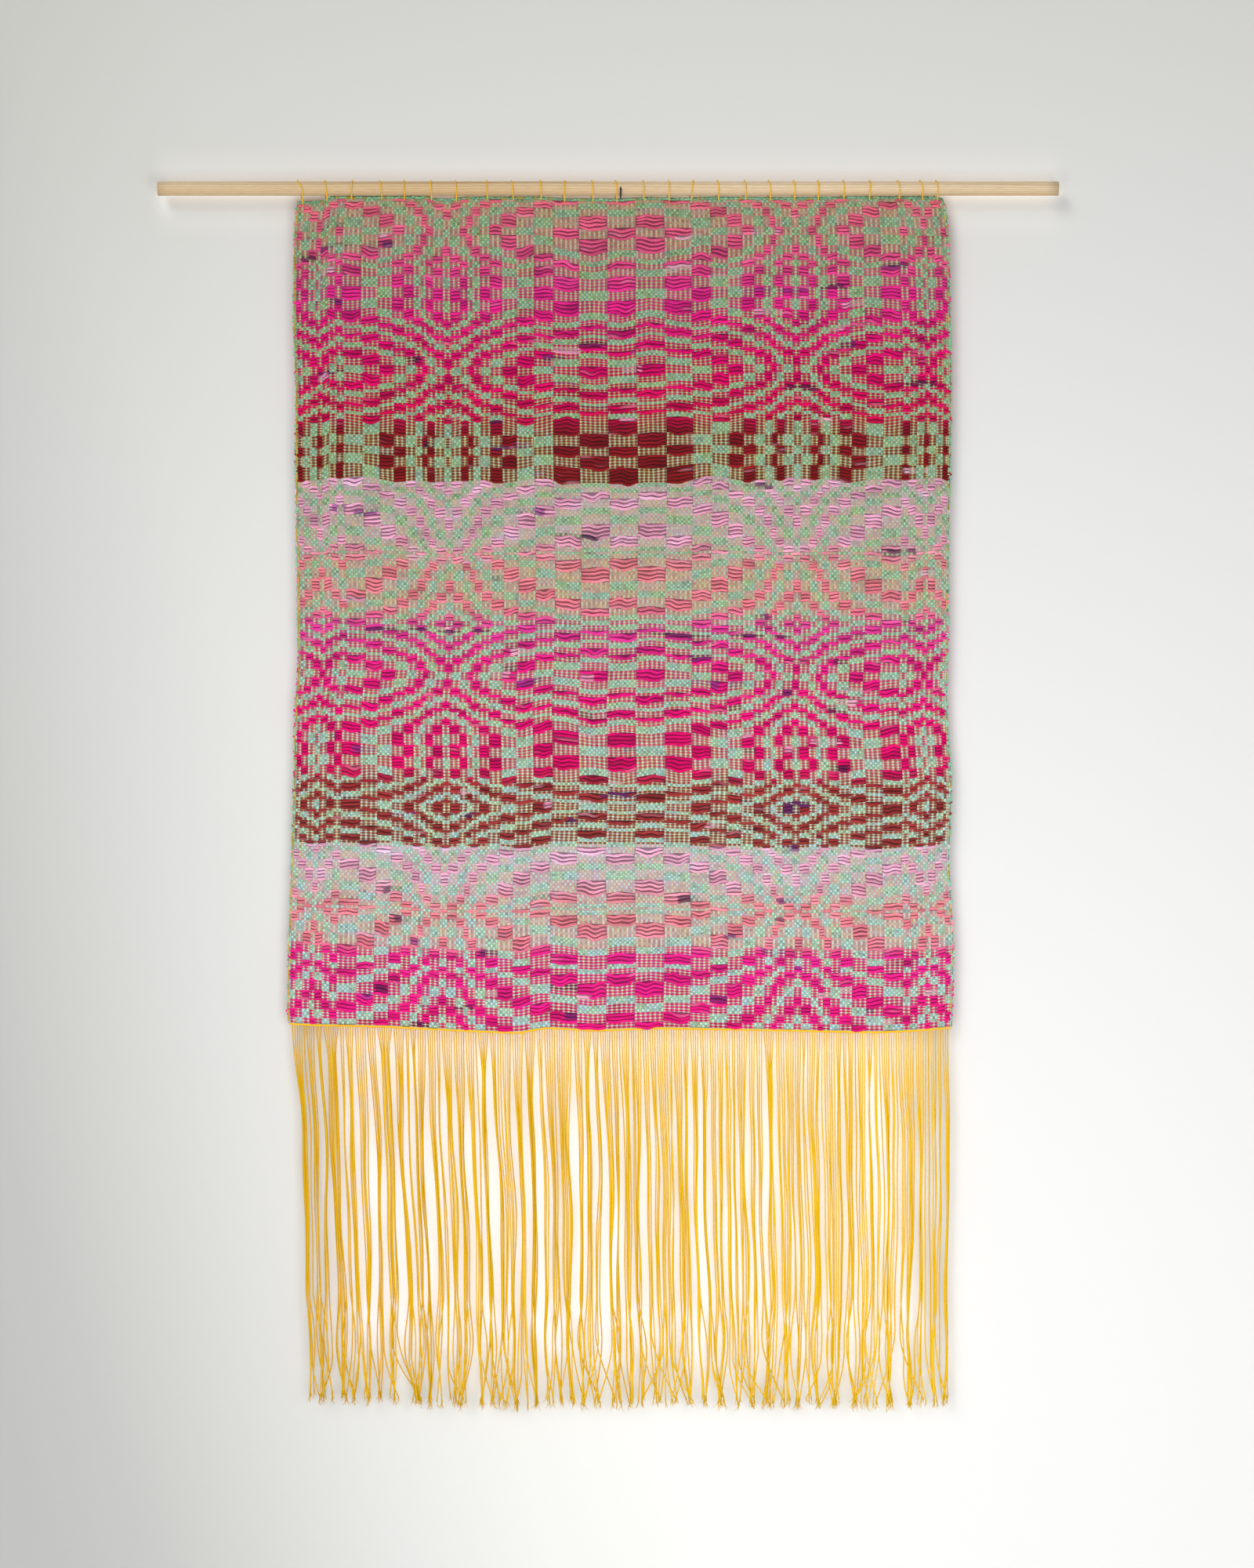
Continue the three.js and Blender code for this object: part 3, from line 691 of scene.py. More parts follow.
def make_cloth():
    """The sheet as two grids of cells, one pick tall and up to six ends wide, joined round the rim. Floats
    and half-tones stand a little prouder than the ground."""
    cuts = [
        np.linspace(start, end, int(np.ceil((end - start) / WIDEST_CELL)) + 1)
        for start, end in zip(block_start, block_end)
    ]
    columns = np.unique(np.concatenate([*cuts, [1, WARP_ENDS - 1]]))
    rows = np.arange(PICKS + 1)
    middles = (columns[:-1] + columns[1:]) / 2
    front = shown[:, np.searchsorted(block_end, middles, side="right")].copy()
    front[:, [0, -1]] = GROUND
    rear = (front + GROUND) % len(BLOCKS)
    ends, picks = np.meshgrid(columns, rows)
    front_points = cloth_point(ends, picks, HALF_THICKNESS + corner_mean(PROUD[front]))
    rear_points = cloth_point(ends, picks, -HALF_THICKNESS - corner_mean(PROUD[rear]))
    points = np.concatenate([front_points.reshape(-1, 3), rear_points.reshape(-1, 3)])
    number = np.arange(ends.size).reshape(ends.shape)
    quads = np.stack([number[:-1, :-1], number[1:, :-1], number[1:, 1:], number[:-1, 1:]], axis=-1)
    front_faces = quads.reshape(-1, 4)
    rear_faces = front_faces[:, ::-1] + ends.size
    edge = np.concatenate([number[0, :-1], number[:-1, -1], number[-1, :0:-1], number[:0:-1, 0]])
    after = np.roll(edge, -1)
    rim = np.stack([edge, after, after + ends.size, edge + ends.size], axis=-1)
    faces = np.concatenate([front_faces, rear_faces, rim])
    lay = np.stack([ends / WARP_ENDS, picks / PICKS], axis=-1).reshape(-1, 2)
    uv = np.concatenate([lay, lay])[faces]
    cell_pick = np.broadcast_to(rows[:-1, None] + 0.5, front.shape)
    cell_across = cloth_point(middles[None, :], cell_pick, 0.0)[..., 0]
    yarn = yarn_colour(cell_pick, cell_across).reshape(-1, 3)
    rim_yarn = np.repeat(yarn[:1], len(rim), axis=0)
    fullness = eased(yarn_thickness(cell_pick), 0.7, 1.1).ravel()
    kinds = np.concatenate([front.ravel(), rear.ravel(), np.full(len(rim), GROUND)])
    values = {
        "ground": (kinds == GROUND).astype(float),
        "half_tone": (kinds % 2 == 1).astype(float),
        "yarn": np.concatenate([yarn, yarn, rim_yarn]),
        "fullness": np.concatenate([fullness, fullness, fullness[:len(rim)]]),
    }
    return add_piece("woven_cloth", (points, faces, uv, None), weave_finish, values)


# The floats of the pattern yarn: sizes in mm, and laps, waves, sags and fans in ends or picks

FLOAT_HALF_TALL = 1.22
FLOAT_HALF_DEEP = 1.0
FLOAT_GIRTH = 0.3
FLOAT_EDGE_BULGE = 0.16
FLOAT_SLUBS = 0.13
FLOAT_LIFT = 0.55
FLOAT_SINKS = 1.1
FLOAT_LAP = 0.75
FLOAT_WAVE = 0.32
FLOAT_SAG = 0.035
FLOAT_FAN = 0.34
FLOAT_SEED = 17
# The picks at which the maroon and the brown bands end. The front's floats are parted there into pieces.
MAROON_ENDS, BROWN_ENDS = 100, 227


def make_floats(name, first_pick, last_pick, kind=FLOAT, facing=1, sides=6, most_rings=15):
    """Each float is one arched tube over its block at its pick. Its ends dip into the cloth and narrow, the
    neighbours wave together by soft noise, long ones sag, the floats of one block fan out in the middle and
    close up at their ends, and the yarn is thick and thin. They face the viewer, or the wall with -1."""
    picks, blocks = np.nonzero(shown[first_pick:last_pick] == kind)
    picks = picks + first_pick
    starts = np.maximum(block_start[blocks], 1)
    stops = np.minimum(block_end[blocks], WARP_ENDS - 1)
    sizes = stops - starts
    rings = np.clip(sizes + 2, 5, most_rings)
    changes = np.concatenate([[True], pick_kind[1:] != pick_kind[:-1], [True]])
    free_sides = changes[picks].astype(float) + changes[picks + 1]
    run_edges = np.nonzero(changes)[0]
    run = np.searchsorted(run_edges[1:], picks, side="right")
    run_start, run_end = run_edges[run], run_edges[run + 1]
    off_middle = (picks + 0.5 - (run_start + run_end) / 2) / ((run_end - run_start) / 2)
    random = np.random.default_rng(FLOAT_SEED + first_pick)
    lap = FLOAT_LAP + random.uniform(-0.4, 0.45, (2, len(picks)))
    lift = random.uniform(0.75, 1.2, len(picks))
    bulk = random.uniform(0.9, 1.08, len(picks)) * (1 + FLOAT_GIRTH * (yarn_thickness(picks) - 1))
    bulk = bulk * (1 + FLOAT_EDGE_BULGE * free_sides)
    shade = random.uniform(0.86, 1.2, len(picks))
    parts = []
    for ring_count in np.unique(rings):
        mine = rings == ring_count
        share = np.linspace(0, 1, ring_count)[None, :]
        start = (starts[mine] - lap[0, mine])[:, None]
        stop = (stops[mine] + lap[1, mine])[:, None]
        end = start + (stop - start) * share
        arch = np.sin(np.pi * share) ** 0.5
        pick = picks[mine][:, None] + 0.5
        size = sizes[mine][:, None]
        wave = FLOAT_WAVE * soft_noise(21, end / 1.9, pick / 5) * np.minimum(size / 6, 1.2)
        sag = FLOAT_SAG * np.maximum(size - 4, 0) * np.sin(np.pi * share)
        forward = HALF_THICKNESS - FLOAT_SINKS * (1 - arch) + FLOAT_LIFT * arch * lift[mine][:, None]
        fan = FLOAT_FAN * off_middle[mine][:, None] * (np.sin(np.pi * share) - 0.35)
        path = cloth_point(end, pick + arch * wave + sag + fan, facing * forward)
        yarn = bulk[mine][:, None] * (1 + FLOAT_SLUBS * soft_noise(22, end / 1.1, pick * 2.3))
        narrow = 0.5 + 0.5 * arch
        tint = yarn_colour(np.broadcast_to(pick, end.shape), path[..., 0]) * shade[mine][:, None, None]
        bulge = yarn * narrow
        parts.append(tubes(path, FLOAT_HALF_TALL * bulge, FLOAT_HALF_DEEP * bulge, sides, tint))
    return add_piece(name, gathered_up(parts), pattern_finish)


# The selvedges, where the wefts turn, and the heading

TURN_REACH = 1.5
TURN_RADIUS = 0.75
THREAD_SIDES = 6


def make_selvedge_turns(name, colour_at, offset, spread, kept, seed):
    """Small half rings at both edges: a weft turns there from one pick to the next. Only a share of them is
    kept, since the rest are buried, and some reach out further than others."""
    random = np.random.default_rng(seed)
    share = np.linspace(-0.5, 0.5, 6)[None, :]
    parts = []
    for edge_end, way in ((0.0, -1), (WARP_ENDS, 1)):
        rows = np.arange(1, PICKS - 2)
        rows = rows[random.uniform(size=len(rows)) < kept][:, None]
        pick = rows + offset + spread * share * random.uniform(0.8, 1.3, rows.shape)
        path = cloth_point(edge_end - way * 0.8, pick, random.uniform(-0.4, 0.4, rows.shape)).copy()
        reach = TURN_REACH + TURN_REACH * random.uniform(0.5, 1.35, rows.shape)
        path[..., 0] += way * reach * np.cos(np.pi * share)
        radius = TURN_RADIUS * random.uniform(0.85, 1.2, rows.shape)
        parts.append(tubes(path, radius, radius, THREAD_SIDES, colour_at(pick, path[..., 0])))
    return add_piece(name, gathered_up(parts), weft_finish)


def make_edge_warps():
    """The outermost golden warp end of each selvedge, which shows between the turns as a wandering line."""
    pick = np.linspace(2, PICKS - 0.5, 420)[None, :]
    paths = []
    for end, forward in ((0.35, 0.75), (WARP_ENDS - 0.5, 0.2)):
        wander = 0.22 * soft_noise(35 + int(end), pick / 2.2)
        paths.append(cloth_point(end + wander, pick, forward + 0.35 * soft_noise(37, pick / 1.6, end)))
    points, faces, uv, _ = tubes(np.concatenate(paths), 0.62, 0.55, THREAD_SIDES)
    tint = np.clip(linear("#C89A24") * (1 + 0.2 * soft_noise(38, points[:, 2] / 6)[:, None]), 0, 1)
    return add_piece("selvedge_warp_ends", (points, faces, uv, tint), gold_finish)


def make_heading():
    """The first mint wefts along the top edge: short lumps, some higher than others, that rise between
    ends. A few of them are golden."""
    golden_share = 0.12
    random = np.random.default_rng(43)
    start = np.arange(0.6, WARP_ENDS - 2, 1.5)[:, None]
    start = start + random.uniform(-0.3, 0.3, start.shape)
    share = np.linspace(0, 1, 6)[None, :]
    end = start + random.uniform(1.2, 2.2, start.shape) * share
    arch = np.sin(np.pi * share) ** 0.5
    path = cloth_point(np.clip(end, 0.3, WARP_ENDS - 0.3), 0.55 + 0 * end, 0.1 + 0.9 * arch).copy()
    path[..., 2] += random.uniform(-0.9, 0.7, start.shape) * arch
    radius = random.uniform(0.75, 1.1, start.shape) * (0.45 + 0.55 * arch)
    tint = mint_colour(np.zeros(end.shape), path[..., 0])
    tint = tint * random.uniform(0.62, 1.05, start.shape)[..., None]
    golden = random.uniform(size=start.shape)[..., None] < golden_share
    tint = np.where(golden, linear("#B8A040"), tint)
    return add_piece("heading_wefts", tubes(path, radius, radius, THREAD_SIDES, tint), weft_finish)


# The fringe

STRANDS = 272
STRAND_RADIUS = 0.66
STRAND_RINGS = 42
BUNDLE_SIZES = [1, 2, 3, 4, 5, 7]
BUNDLE_SHARES_LEFT = [0.1, 0.2, 0.24, 0.22, 0.14, 0.1]
BUNDLE_SHARES_RIGHT = [0.16, 0.32, 0.3, 0.16, 0.06, 0.0]
FIRST_BUNDLE = 5
LEFT_BUNDLES = 30
ROOT_INSET = 3.0
FOOT_LEFT = -322.0
FOOT_RIGHT = 334.0
FRINGE_SEED = 53
STRAY_SHARE = 0.2
GOLD_SHADES = ["#E2AE0C", "#EFBC14", "#F5C620", "#DAA408"]
# Painted light: the gold is this bright at the left, as a share, and gains this much red, green and blue by
# the right.
PAINTED_SHADE_LEFT = 0.87
PAINTED_LIGHT_GAIN_RIGHT = np.array([0.13, 0.22, 0.13])
TIP_FIBRES = 3
FIBRE_RINGS = 4
FIBRE_SIDES = 4


def gathered_foot(across):
    """Where the fringe gathers an end that would hang at a place: each lock draws in its share of ends."""
    middles = (lock_to[:-1] + lock_from[1:]) / 2
    knots = np.concatenate([[FOOT_LEFT], np.repeat(middles, 2), [FOOT_RIGHT]])
    knots[2::2] += 0.001
    feet = np.stack([lock_from, lock_to], axis=1).ravel()
    return np.interp(across, knots, feet)


def gold_tint(random, count):
    """A shade of gold for each thread, a random mixture of the dyed cotton's shades."""
    shades = np.array([linear(shade) for shade in GOLD_SHADES])
    return random.dirichlet(np.ones(len(shades)), count) @ shades


def strand_paths(random, share):
    """The strands' lines, and how thin each is along its way. Each strand leaves the hem cord and closes
    up with its neighbours into a bundle of up to seven, thicker and closer towards the left. The bundles
    are drawn into locks on the way down and sway together. Near the cut tips the strands sweep in to their
    lock, some to the next one."""
    each = (STRANDS, 1)
    width = top_across[-1] - top_across[0]
    root_end = (ROOT_INSET + share * (width - 2 * ROOT_INSET)) / width * WARP_ENDS
    root = cloth_point(root_end, float(PICKS), 0.0)
    root[:, 2] -= GAP + HEM_CORD_HEIGHT / 2
    root_x = root[:, :1]
    foot_x = gathered_foot(FOOT_LEFT + share * (FOOT_RIGHT - FOOT_LEFT))
    down = np.linspace(0, 1, STRAND_RINGS)[None, :] ** 0.85
    loose = eased(down, 0, 0.3)

    sizes = np.concatenate([
        [FIRST_BUNDLE],
        random.choice(BUNDLE_SIZES, LEFT_BUNDLES, p=BUNDLE_SHARES_LEFT),
        random.choice(BUNDLE_SIZES, STRANDS, p=BUNDLE_SHARES_RIGHT),
    ])
    bundle = np.repeat(np.arange(len(sizes)), sizes)[:STRANDS]
    count = np.bincount(bundle)
    middle = (np.bincount(bundle, root_x[:, 0]) / count)[bundle][:, None]
    bundle_foot = (np.bincount(bundle, foot_x) / count)[bundle][:, None]
    rank = np.arange(STRANDS) - np.concatenate([[0], np.cumsum(count)[:-1]])[bundle]
    place = (rank - (count[bundle] - 1) / 2)[:, None]
    close = 1 - eased(share[:, None], 0.2, 0.6)

    drawn = 0.5 * down + 0.5 * eased(down, 0, random.uniform(0.4, 0.85, len(count))[bundle][:, None])
    sway = 0.9 * np.sin(7 * down + middle / 55) * loose
    sway = sway + 1.0 * soft_noise(61, down * 7, middle / 9) * loose
    sway = sway + random.normal(0, 0.8, len(count))[bundle][:, None] * loose
    closed_by = random.uniform(0.1, 0.5, len(count))[bundle][:, None] * (1 - 0.3 * close)
    tight = eased(down, -0.04, closed_by)
    tight = tight - tight[:, :1] * (1 - down)
    apart = place * random.uniform(1.0, 1.55, each) * (1 - 0.15 * close)
    apart = apart * (1 + 0.45 * soft_noise(63, down * 6, middle))
    apart = apart + 0.5 * soft_noise(64, down * 14, root_x * 3) * tight
    across = middle + (bundle_foot - middle) * drawn + (root_x - middle) * (1 - tight)
    across = across + apart * tight + sway

    lock_middle = (lock_from + lock_to) / 2
    nearest = np.abs(across[:, -1:] - lock_middle).argmin(axis=1)
    strays = random.uniform(size=STRANDS) < STRAY_SHARE
    lock = np.clip(nearest + strays * random.choice([-1, 1], STRANDS), 0, len(lock_middle) - 1)
    target = lock_middle[lock] + random.normal(0, 1, STRANDS) * (lock_to - lock_from)[lock] * 0.28
    swept = np.clip((down - random.uniform(0.8, 0.92, each)) / 0.14, 0, None) ** 1.5
    swept = swept / swept[:, -1:]
    bow = random.normal(0, 2.6, each) * np.sin(np.pi * eased(down, 0.7, 1.0))
    across = across + (target[:, None] - across[:, -1:]) * swept + bow

    stagger = np.where(rank % 2 == 0, 0.6, -0.6)[:, None] + random.normal(0, 0.6, each)
    plumb = root[:, 1:2] + (rod_depth - root[:, 1:2]) * 0.7 * down
    depth = plumb + (stagger + 0.8 * np.sin(9 * down + root_x / 40)) * loose
    depth = depth + random.normal(0, 1.5, each) * swept
    length = FRINGE_LENGTH + random.uniform(-5, 2.5, each)
    thin = (1 + 0.08 * soft_noise(62, down * 40, root_x)) * (0.82 + 0.18 * eased(down, 0, 0.15))
    return np.stack([across, depth, root[:, 2:] - down * length], axis=-1), thin


def tip_fibres(random, tips, tint):
    """One loose fibre from each strand's cut tip: it starts inside the strand, curls aside and tapers."""
    share = np.linspace(0, 1, FIBRE_RINGS)[None, :, None]
    count = len(tips)
    way = np.stack([
        random.normal(0, 1.6, count), random.normal(0, 0.8, count), -random.uniform(3, 7, count)
    ], axis=-1)
    curl = np.stack([random.normal(0, 1.2, count), np.zeros(count), np.zeros(count)], axis=-1)
    path = tips[:, None] + way[:, None] * share + curl[:, None] * share ** 2
    path[:, 0, 2] += 1.5
    taper = 0.36 - 0.22 * share[..., 0]
    return tubes(path, taper, taper, FIBRE_SIDES, tint)


def make_fringe():
    """The strands, with painted light in their gold, darker at the left and a little paler towards the
    right, with three loose fibres at each cut tip.
    """
    random = np.random.default_rng(FRINGE_SEED)
    share = (np.arange(STRANDS) + 0.5) / STRANDS
    path, thin = strand_paths(random, share)
    # Painted light: the gold darkens at the left and brightens towards the right.
    tint = (gold_tint(random, STRANDS) * (PAINTED_SHADE_LEFT + PAINTED_LIGHT_GAIN_RIGHT * share[:, None]))[:, None]
    strands = tubes(path, STRAND_RADIUS * thin, STRAND_RADIUS * thin, THREAD_SIDES, tint)
    fibres = [tip_fibres(random, path[:, -1], tint) for _ in range(TIP_FIBRES)]
    return add_piece("fringe_strands", gathered_up([strands, *fibres]), gold_finish)


def make_hem_cord():
    """The twined edge along the hem: two golden plies that wind round a line just under the cloth."""
    end = np.linspace(0.6, WARP_ENDS - 0.6, 760)[None, :]
    middle = cloth_point(end, float(PICKS), 0.0)
    middle[..., 2] -= GAP + HEM_CORD_HEIGHT / 2
    plies = twisted(middle, TO_VIEWER, 2, 0.5, 5.0)
    shape = tubes(plies, 0.72, 0.72, THREAD_SIDES, linear("#FCC428"))
    return add_piece("hem_cord", shape, gold_finish)


# The loops that tie the cloth to the rod

LOOP_REAR_SLANT = 3.0
THROUGH_CLOTH = 7


def loop_line(rod_across, cloth_across):
    """One loop's closed line: through the cloth, up in front to the rod, over it on a circle, and down
    behind. The legs are the straight lines that touch the circle."""
    reach = ROD_RADIUS + LOOP_SLACK + LOOP_THREAD_RADIUS
    hole = np.interp(cloth_across, top_across, top_height) - HOLE_BELOW_EDGE
    touch = np.arcsin(reach / (rod_height - hole))
    angle = np.linspace(-touch, np.pi + touch, 30)
    share = np.linspace(0, 1, 30)
    across = np.where(
        share < 0.5,
        cloth_across + (rod_across - cloth_across) * eased(share, 0, 0.5),
        rod_across + (cloth_across - LOOP_REAR_SLANT - rod_across) * (2 * share - 1),
    )
    arc = np.stack([across, rod_depth - reach * np.cos(angle), rod_height + reach * np.sin(angle)], axis=-1)
    turn = np.linspace(0, np.pi, THROUGH_CLOTH)
    bottom = np.stack([
        np.full(THROUGH_CLOTH, cloth_across),
        rod_depth + 1.5 * np.cos(turn),
        hole + 0.9 - 0.9 * np.sin(turn),
    ], axis=-1)
    leg_share = np.linspace(0, 1, 9)[1:-1, None]
    rear_leg = arc[-1] + (bottom[0] - arc[-1]) * leg_share
    front_leg = bottom[-1] + (arc[0] - bottom[-1]) * leg_share
    return np.concatenate([bottom, front_leg, arc, rear_leg, bottom[:1]])


def make_loops():
    """All loops as one mesh of two-ply thread."""
    middle = np.stack([loop_line(rod, cloth) for rod, cloth in zip(loop_rod, loop_cloth)])
    plies = twisted(middle, ALONG_ROD, 2, 0.3, 3.4)
    shape = tubes(plies, 0.42, 0.42, THREAD_SIDES, linear("#FFCC24"), ALONG_ROD)
    return add_piece("thread_loops", shape, gold_finish)


# The rod and the hook

ROD_EDGE_BREAK = 0.6
ROD_SIDES = 64
HOOK_TIP_ROUND = 0.4
HOOK_TIP_NARROWS = 0.5
HOOK_SIDES = 24


def make_rod():
    """A round bar carried along X: the radius falls by a quarter circle at each cut end."""
    turn = np.linspace(0, np.pi / 2, 5)
    half = ROD_LENGTH / 2
    inset = ROD_EDGE_BREAK * (1 - np.sin(turn))
    narrow = ROD_EDGE_BREAK * (1 - np.cos(turn))[::-1]
    body = np.linspace(-half + ROD_EDGE_BREAK, half - ROD_EDGE_BREAK, 62)[1:-1]
    along = np.concatenate([-half + inset, body, half - inset[::-1]])
    radius = np.full(len(along), ROD_RADIUS)
    radius[:len(turn)] -= narrow
    radius[-len(turn):] -= narrow[::-1]
    path = np.array(ROD_MIDDLE) + along[:, None] * np.array(ALONG_ROD)
    return add_piece("rod_dowel", tubes(path[None], radius, radius, ROD_SIDES), wood_finish)


def make_hook():
    """A wire that leaves the wall level, passes under the rod and turns up in front of it on a quarter
    circle."""
    front = rod_depth - ROD_RADIUS - GAP - HOOK_WIRE_RADIUS
    turn = np.linspace(0, np.pi / 2, 12)
    level = np.linspace(0, front + HOOK_BEND, 14)[:-1]
    bend_y = front + HOOK_BEND - HOOK_BEND * np.sin(turn)
    bend_z = HOOK_BEND - HOOK_BEND * np.cos(turn)
    tip_start = HOOK_TIP_HEIGHT - HOOK_TIP_ROUND
    tip = np.linspace(HOOK_BEND, tip_start, 6)[1:]
    rounding = turn[[5, 8, 11]]
    z = np.concatenate([np.zeros(len(level)), bend_z, tip, tip_start + HOOK_TIP_ROUND * np.sin(rounding)])
    y = np.concatenate([level, bend_y, np.full(len(tip) + len(rounding), front)])
    radius = np.full(len(y), HOOK_WIRE_RADIUS)
    radius[-len(rounding):] -= HOOK_TIP_NARROWS * (1 - np.cos(rounding))
    path = np.stack([np.zeros(len(y)), y, z], axis=-1)
    shape = tubes(path[None], radius, radius, HOOK_SIDES, outward=ALONG_ROD)
    return add_piece("wire_hook", shape, wire_finish)


# Camera: square on to the hanging, at the photograph's framing

VIEW_MIDDLE = (6.4, -16.0, -596.3)
VIEW_HEIGHT = 1592.4
VIEW_DISTANCE = 3000.0
SENSOR = 36.0


def make_camera():
    """A level camera in front of the hanging, whose lens takes in the photograph's height at the cloth."""
    x, y, z = VIEW_MIDDLE
    camera = in_scene("camera", bpy.data.cameras.new("camera"))
    camera.location = (x * MM, (y - VIEW_DISTANCE) * MM, z * MM)
    camera.rotation_euler = (np.pi / 2, 0, 0)
    camera.data.sensor_width = SENSOR
    camera.data.lens = SENSOR * VIEW_DISTANCE / VIEW_HEIGHT
    camera.data.clip_end = 50
    bpy.context.scene.camera = camera


make_camera()

rod = make_rod()
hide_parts("rod")
hook = make_hook()
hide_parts("hook")
loops = make_loops()
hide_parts(*[f"loop_{number:02d}" for number in range(1, len(loop_rod) + 1)])
cloth = make_cloth()
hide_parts("cloth")
floats = [
    make_floats("pattern_floats_top", 0, MAROON_ENDS),
    make_floats("pattern_floats_middle", MAROON_ENDS, BROWN_ENDS),
    make_floats("pattern_floats_foot", BROWN_ENDS, PICKS),
    make_floats("rear_floats", 1, PICKS, kind=GROUND, facing=-1, sides=4, most_rings=7),
]
turns = [
    make_selvedge_turns("selvedge_pattern_turns", yarn_colour, offset=1.0, spread=1.0, kept=0.24, seed=39),
    make_selvedge_turns("selvedge_mint_turns", mint_colour, offset=0.4, spread=0.9, kept=0.72, seed=40),
    make_edge_warps(),
    make_heading(),
]
fringe = make_fringe()
hem_cord = make_hem_cord()
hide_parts("fringe")


# Stage: a pale floor below the view, and a pale backdrop that only its front shows

FLOOR_HEIGHT = -1.75
FLOOR_REACH = 6
BACKDROP_DEPTH = 0.001
BACKDROP_REACH = 3
BACKDROP_TOP = 1.6
FRINGE_MIDDLE = (4.0, 0.0, -990.0)
FILL_PLACE = (0.1, -1.7, -1.3)


def flat_stage(name, corners, material):
    """One flat four-cornered sheet that belongs to the stage."""
    mesh = bpy.data.meshes.new(name)
    mesh.from_pydata(corners, [], [(0, 1, 2, 3)])
    mesh.materials.append(material)
    in_scene(name, mesh)


def floor_with_painted_shade():
    """A matt pale floor with painted shade, darker below the fill light, so that no pool of light shows."""
    material, add = new_material("pale_floor")
    place = add("TexCoord").outputs["Object"]
    foot_of_fill = (*FILL_PLACE[:2], FLOOR_HEIGHT)
    away = add("VectorMath", place, foot_of_fill, operation="DISTANCE").outputs["Value"]
    away = add("MapRange", {"Value": away, "From Max": 2.2})
    # Painted shade: darkest below the fill light, paler away from it.
    tone = add("ValToRGB", away, stops=[
        (0.0, "#727270"), (0.36, "#8A8A88"), (0.64, "#AEAEAB"), (1.0, "#CFCECB"),
    ])
    paint = add("BsdfPrincipled", {"Base Color": tone, "Roughness": 0.9})
    add("OutputMaterial", paint)
    return material


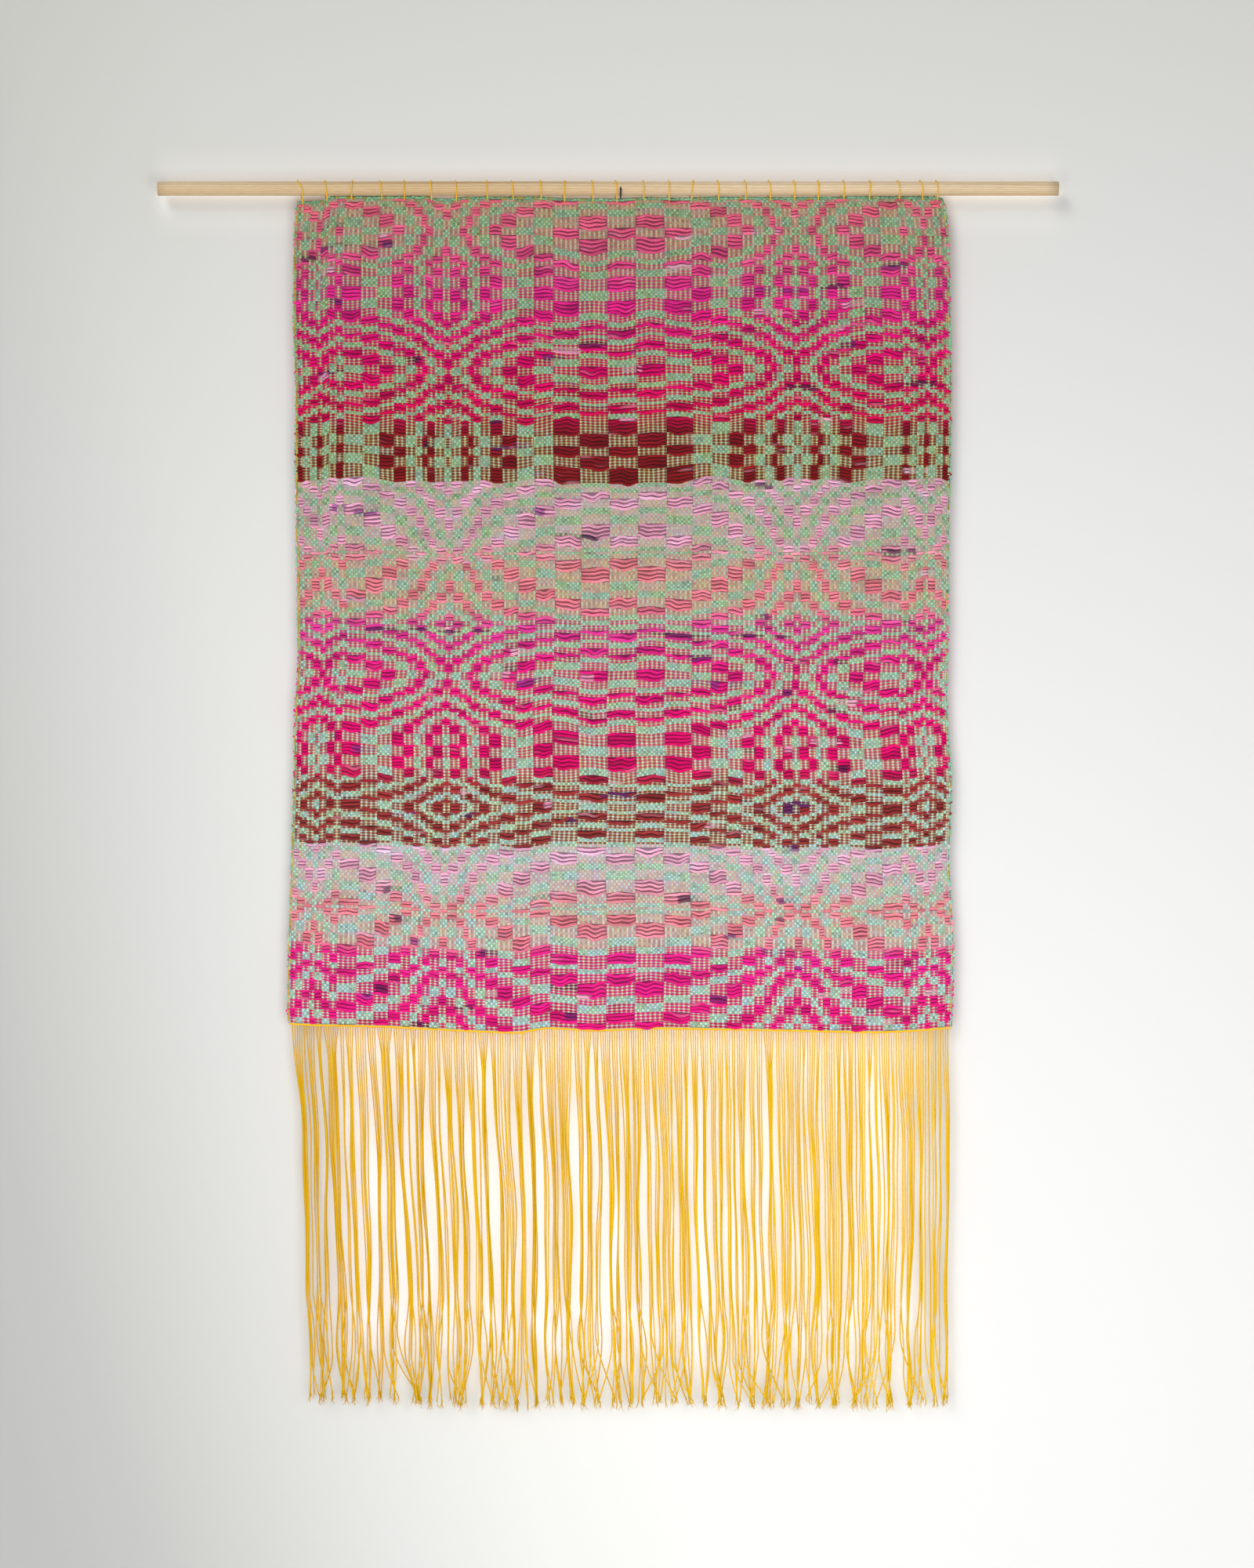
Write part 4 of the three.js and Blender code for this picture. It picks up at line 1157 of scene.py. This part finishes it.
def uneven_backdrop():
    """A matt pale wall with painted light and shade: duller towards the left and the top, and paler along
    the rod and behind the fringe, where painted light lifts their shadows, as the room's light leaves it in
    the photograph. From behind, and to shadows, it is clear."""
    material, add = new_material("pale_backdrop")
    place = add("TexCoord").outputs["Object"]
    height = add("SeparateXYZ", place).outputs["Z"]
    # Painted light and shade: the tone falls towards the left, and a little towards the top.
    slope = add("VectorMath", place, (1.0, 0.0, 0.35), operation="DOT_PRODUCT")
    slope = add("MapRange", {"Value": slope.outputs["Value"], "From Min": -1.06, "From Max": -0.25})
    tone = add("ValToRGB", slope, stops=[
        (0.0, "#A5A5A3"), (0.12, "#A9A9A7"), (0.28, "#B5B5B2"), (0.44, "#C0C0BE"), (0.62, "#CACAC7"),
        (0.82, "#CFCFCD"), (1.0, "#CFCFCE"),
    ])
    upper = add("MapRange", {"Value": height, "From Min": -0.3, "From Max": 0.25})
    duller = add("ValToRGB", upper, stops=[(0.0, "#FFFFFF"), (1.0, "#FCFCF8")])
    tone = add("Mix", {"Factor": 1.0, "A": tone, "B": duller}, **MULTIPLIED)

    # The paler zone behind the fringe: painted light that lifts the fringe's shadows on the wall
    fringe_middle = tuple(part * MM for part in FRINGE_MIDDLE)
    off = add("VectorMath", place, fringe_middle, operation="SUBTRACT")
    off = add("VectorMath", off, operation="ABSOLUTE")
    off = add("SeparateXYZ", off)
    aside = add("MapRange", {"Value": off.outputs["X"], "From Min": 0.335, "From Max": 0.26}, **SMOOTH)
    below = add("MapRange", {"Value": off.outputs["Z"], "From Min": 0.24, "From Max": 0.15}, **SMOOTH)
    painted_light_behind_fringe = add("Math", aside, below, operation="MULTIPLY")
    hem_share = add("MapRange", {"Value": height, "From Min": -0.92, "From Max": -0.84})
    paler = add("ValToRGB", hem_share, stops=[(0.0, "#E9ECF6"), (1.0, "#FBFCFF")])
    tone = add("Mix", {"Factor": painted_light_behind_fringe, "A": tone, "B": paler}, **MIXED)

    # The paler band along the rod: painted light that lifts the rod's shadow on the wall
    rod_share = add("MapRange", {"Value": height, "From Min": -0.04, "From Max": 0.06})
    painted_light_near_rod = add("ValToRGB", rod_share, stops=[
        (0.0, "#000000"), (0.21, "#585858"), (0.32, "#989898"), (0.5, "#C8C8C8"), (0.58, "#FFFFFF"),
        (0.624, "#DADADA"), (0.687, "#989898"), (0.77, "#585858"), (0.95, "#000000"),
    ])
    off = add("VectorMath", place, (-ROD_MIDDLE[0] * MM, 0.0, 0.0), operation="ADD")
    off = add("VectorMath", off, operation="ABSOLUTE")
    off = add("SeparateXYZ", off).outputs["X"]
    beside = add("MapRange", {"Value": off, "From Min": 0.47, "From Max": 0.448}, **SMOOTH)
    painted_light_near_rod = add("Math", painted_light_near_rod, beside, operation="MULTIPLY")
    tone = add("Mix", {"Factor": painted_light_near_rod, "A": tone, "B": rgba("#F6F6F4")}, **MIXED)

    paint = add("BsdfPrincipled", {"Base Color": tone, "Roughness": 0.9})
    rear = add("NewGeometry").outputs["Backfacing"]
    shadow = add("LightPath").outputs["Is Shadow Ray"]
    clear = add("Math", rear, shadow, operation="MAXIMUM")
    mixed = add("MixShader", clear, paint, add("BsdfTransparent"))
    add("OutputMaterial", mixed)
    return material


def make_stage():
    """The floor, and the backdrop that stands on it just behind the hanging."""
    flat_stage("floor", [
        (-FLOOR_REACH, -FLOOR_REACH, FLOOR_HEIGHT), (FLOOR_REACH, -FLOOR_REACH, FLOOR_HEIGHT),
        (FLOOR_REACH, FLOOR_REACH, FLOOR_HEIGHT), (-FLOOR_REACH, FLOOR_REACH, FLOOR_HEIGHT),
    ], floor_with_painted_shade())
    flat_stage("backdrop", [
        (-BACKDROP_REACH, BACKDROP_DEPTH, FLOOR_HEIGHT), (BACKDROP_REACH, BACKDROP_DEPTH, FLOOR_HEIGHT),
        (BACKDROP_REACH, BACKDROP_DEPTH, BACKDROP_TOP), (-BACKDROP_REACH, BACKDROP_DEPTH, BACKDROP_TOP),
    ], uneven_backdrop())


def add_light(name, kind, energy, location, towards, **settings):
    """A light at a place, turned towards another."""
    data = bpy.data.lights.new(name, kind)
    data.energy = energy
    for key, value in settings.items():
        setattr(data, key, value)
    light = in_scene(name, data)
    way = np.array(towards, float) - np.array(location, float)
    light.location = location
    light.rotation_euler = (
        np.arctan2(np.hypot(way[0], way[1]), -way[2]), 0, np.arctan2(way[1], way[0]) - np.pi / 2
    )


def make_light():
    """Soft light from the upper left in front, a broad fill from low in front, and one from behind, for
    views from the rear."""
    x, _, z = FILL_PLACE
    add_light("key", "SUN", 1.2, (-1.6, -2.4, 1.2), (0, 0, -0.6), angle=0.45)
    add_light("fill", "AREA", 41, FILL_PLACE, (x, 0, z), shape="DISK", size=1.9)
    add_light("rear", "AREA", 110, (0.8, 3.0, 0.6), (0, 0, -0.6), shape="DISK", size=2.0)
    world = bpy.data.worlds.new("pale_room")
    world.use_nodes = True
    background = world.node_tree.nodes["Background"]
    background.inputs["Color"].default_value = rgba("#E9EAEC")
    background.inputs["Strength"].default_value = 0.45
    bpy.context.scene.world = world


make_stage()
make_light()
bpy.context.scene.view_settings.view_transform = "Standard"
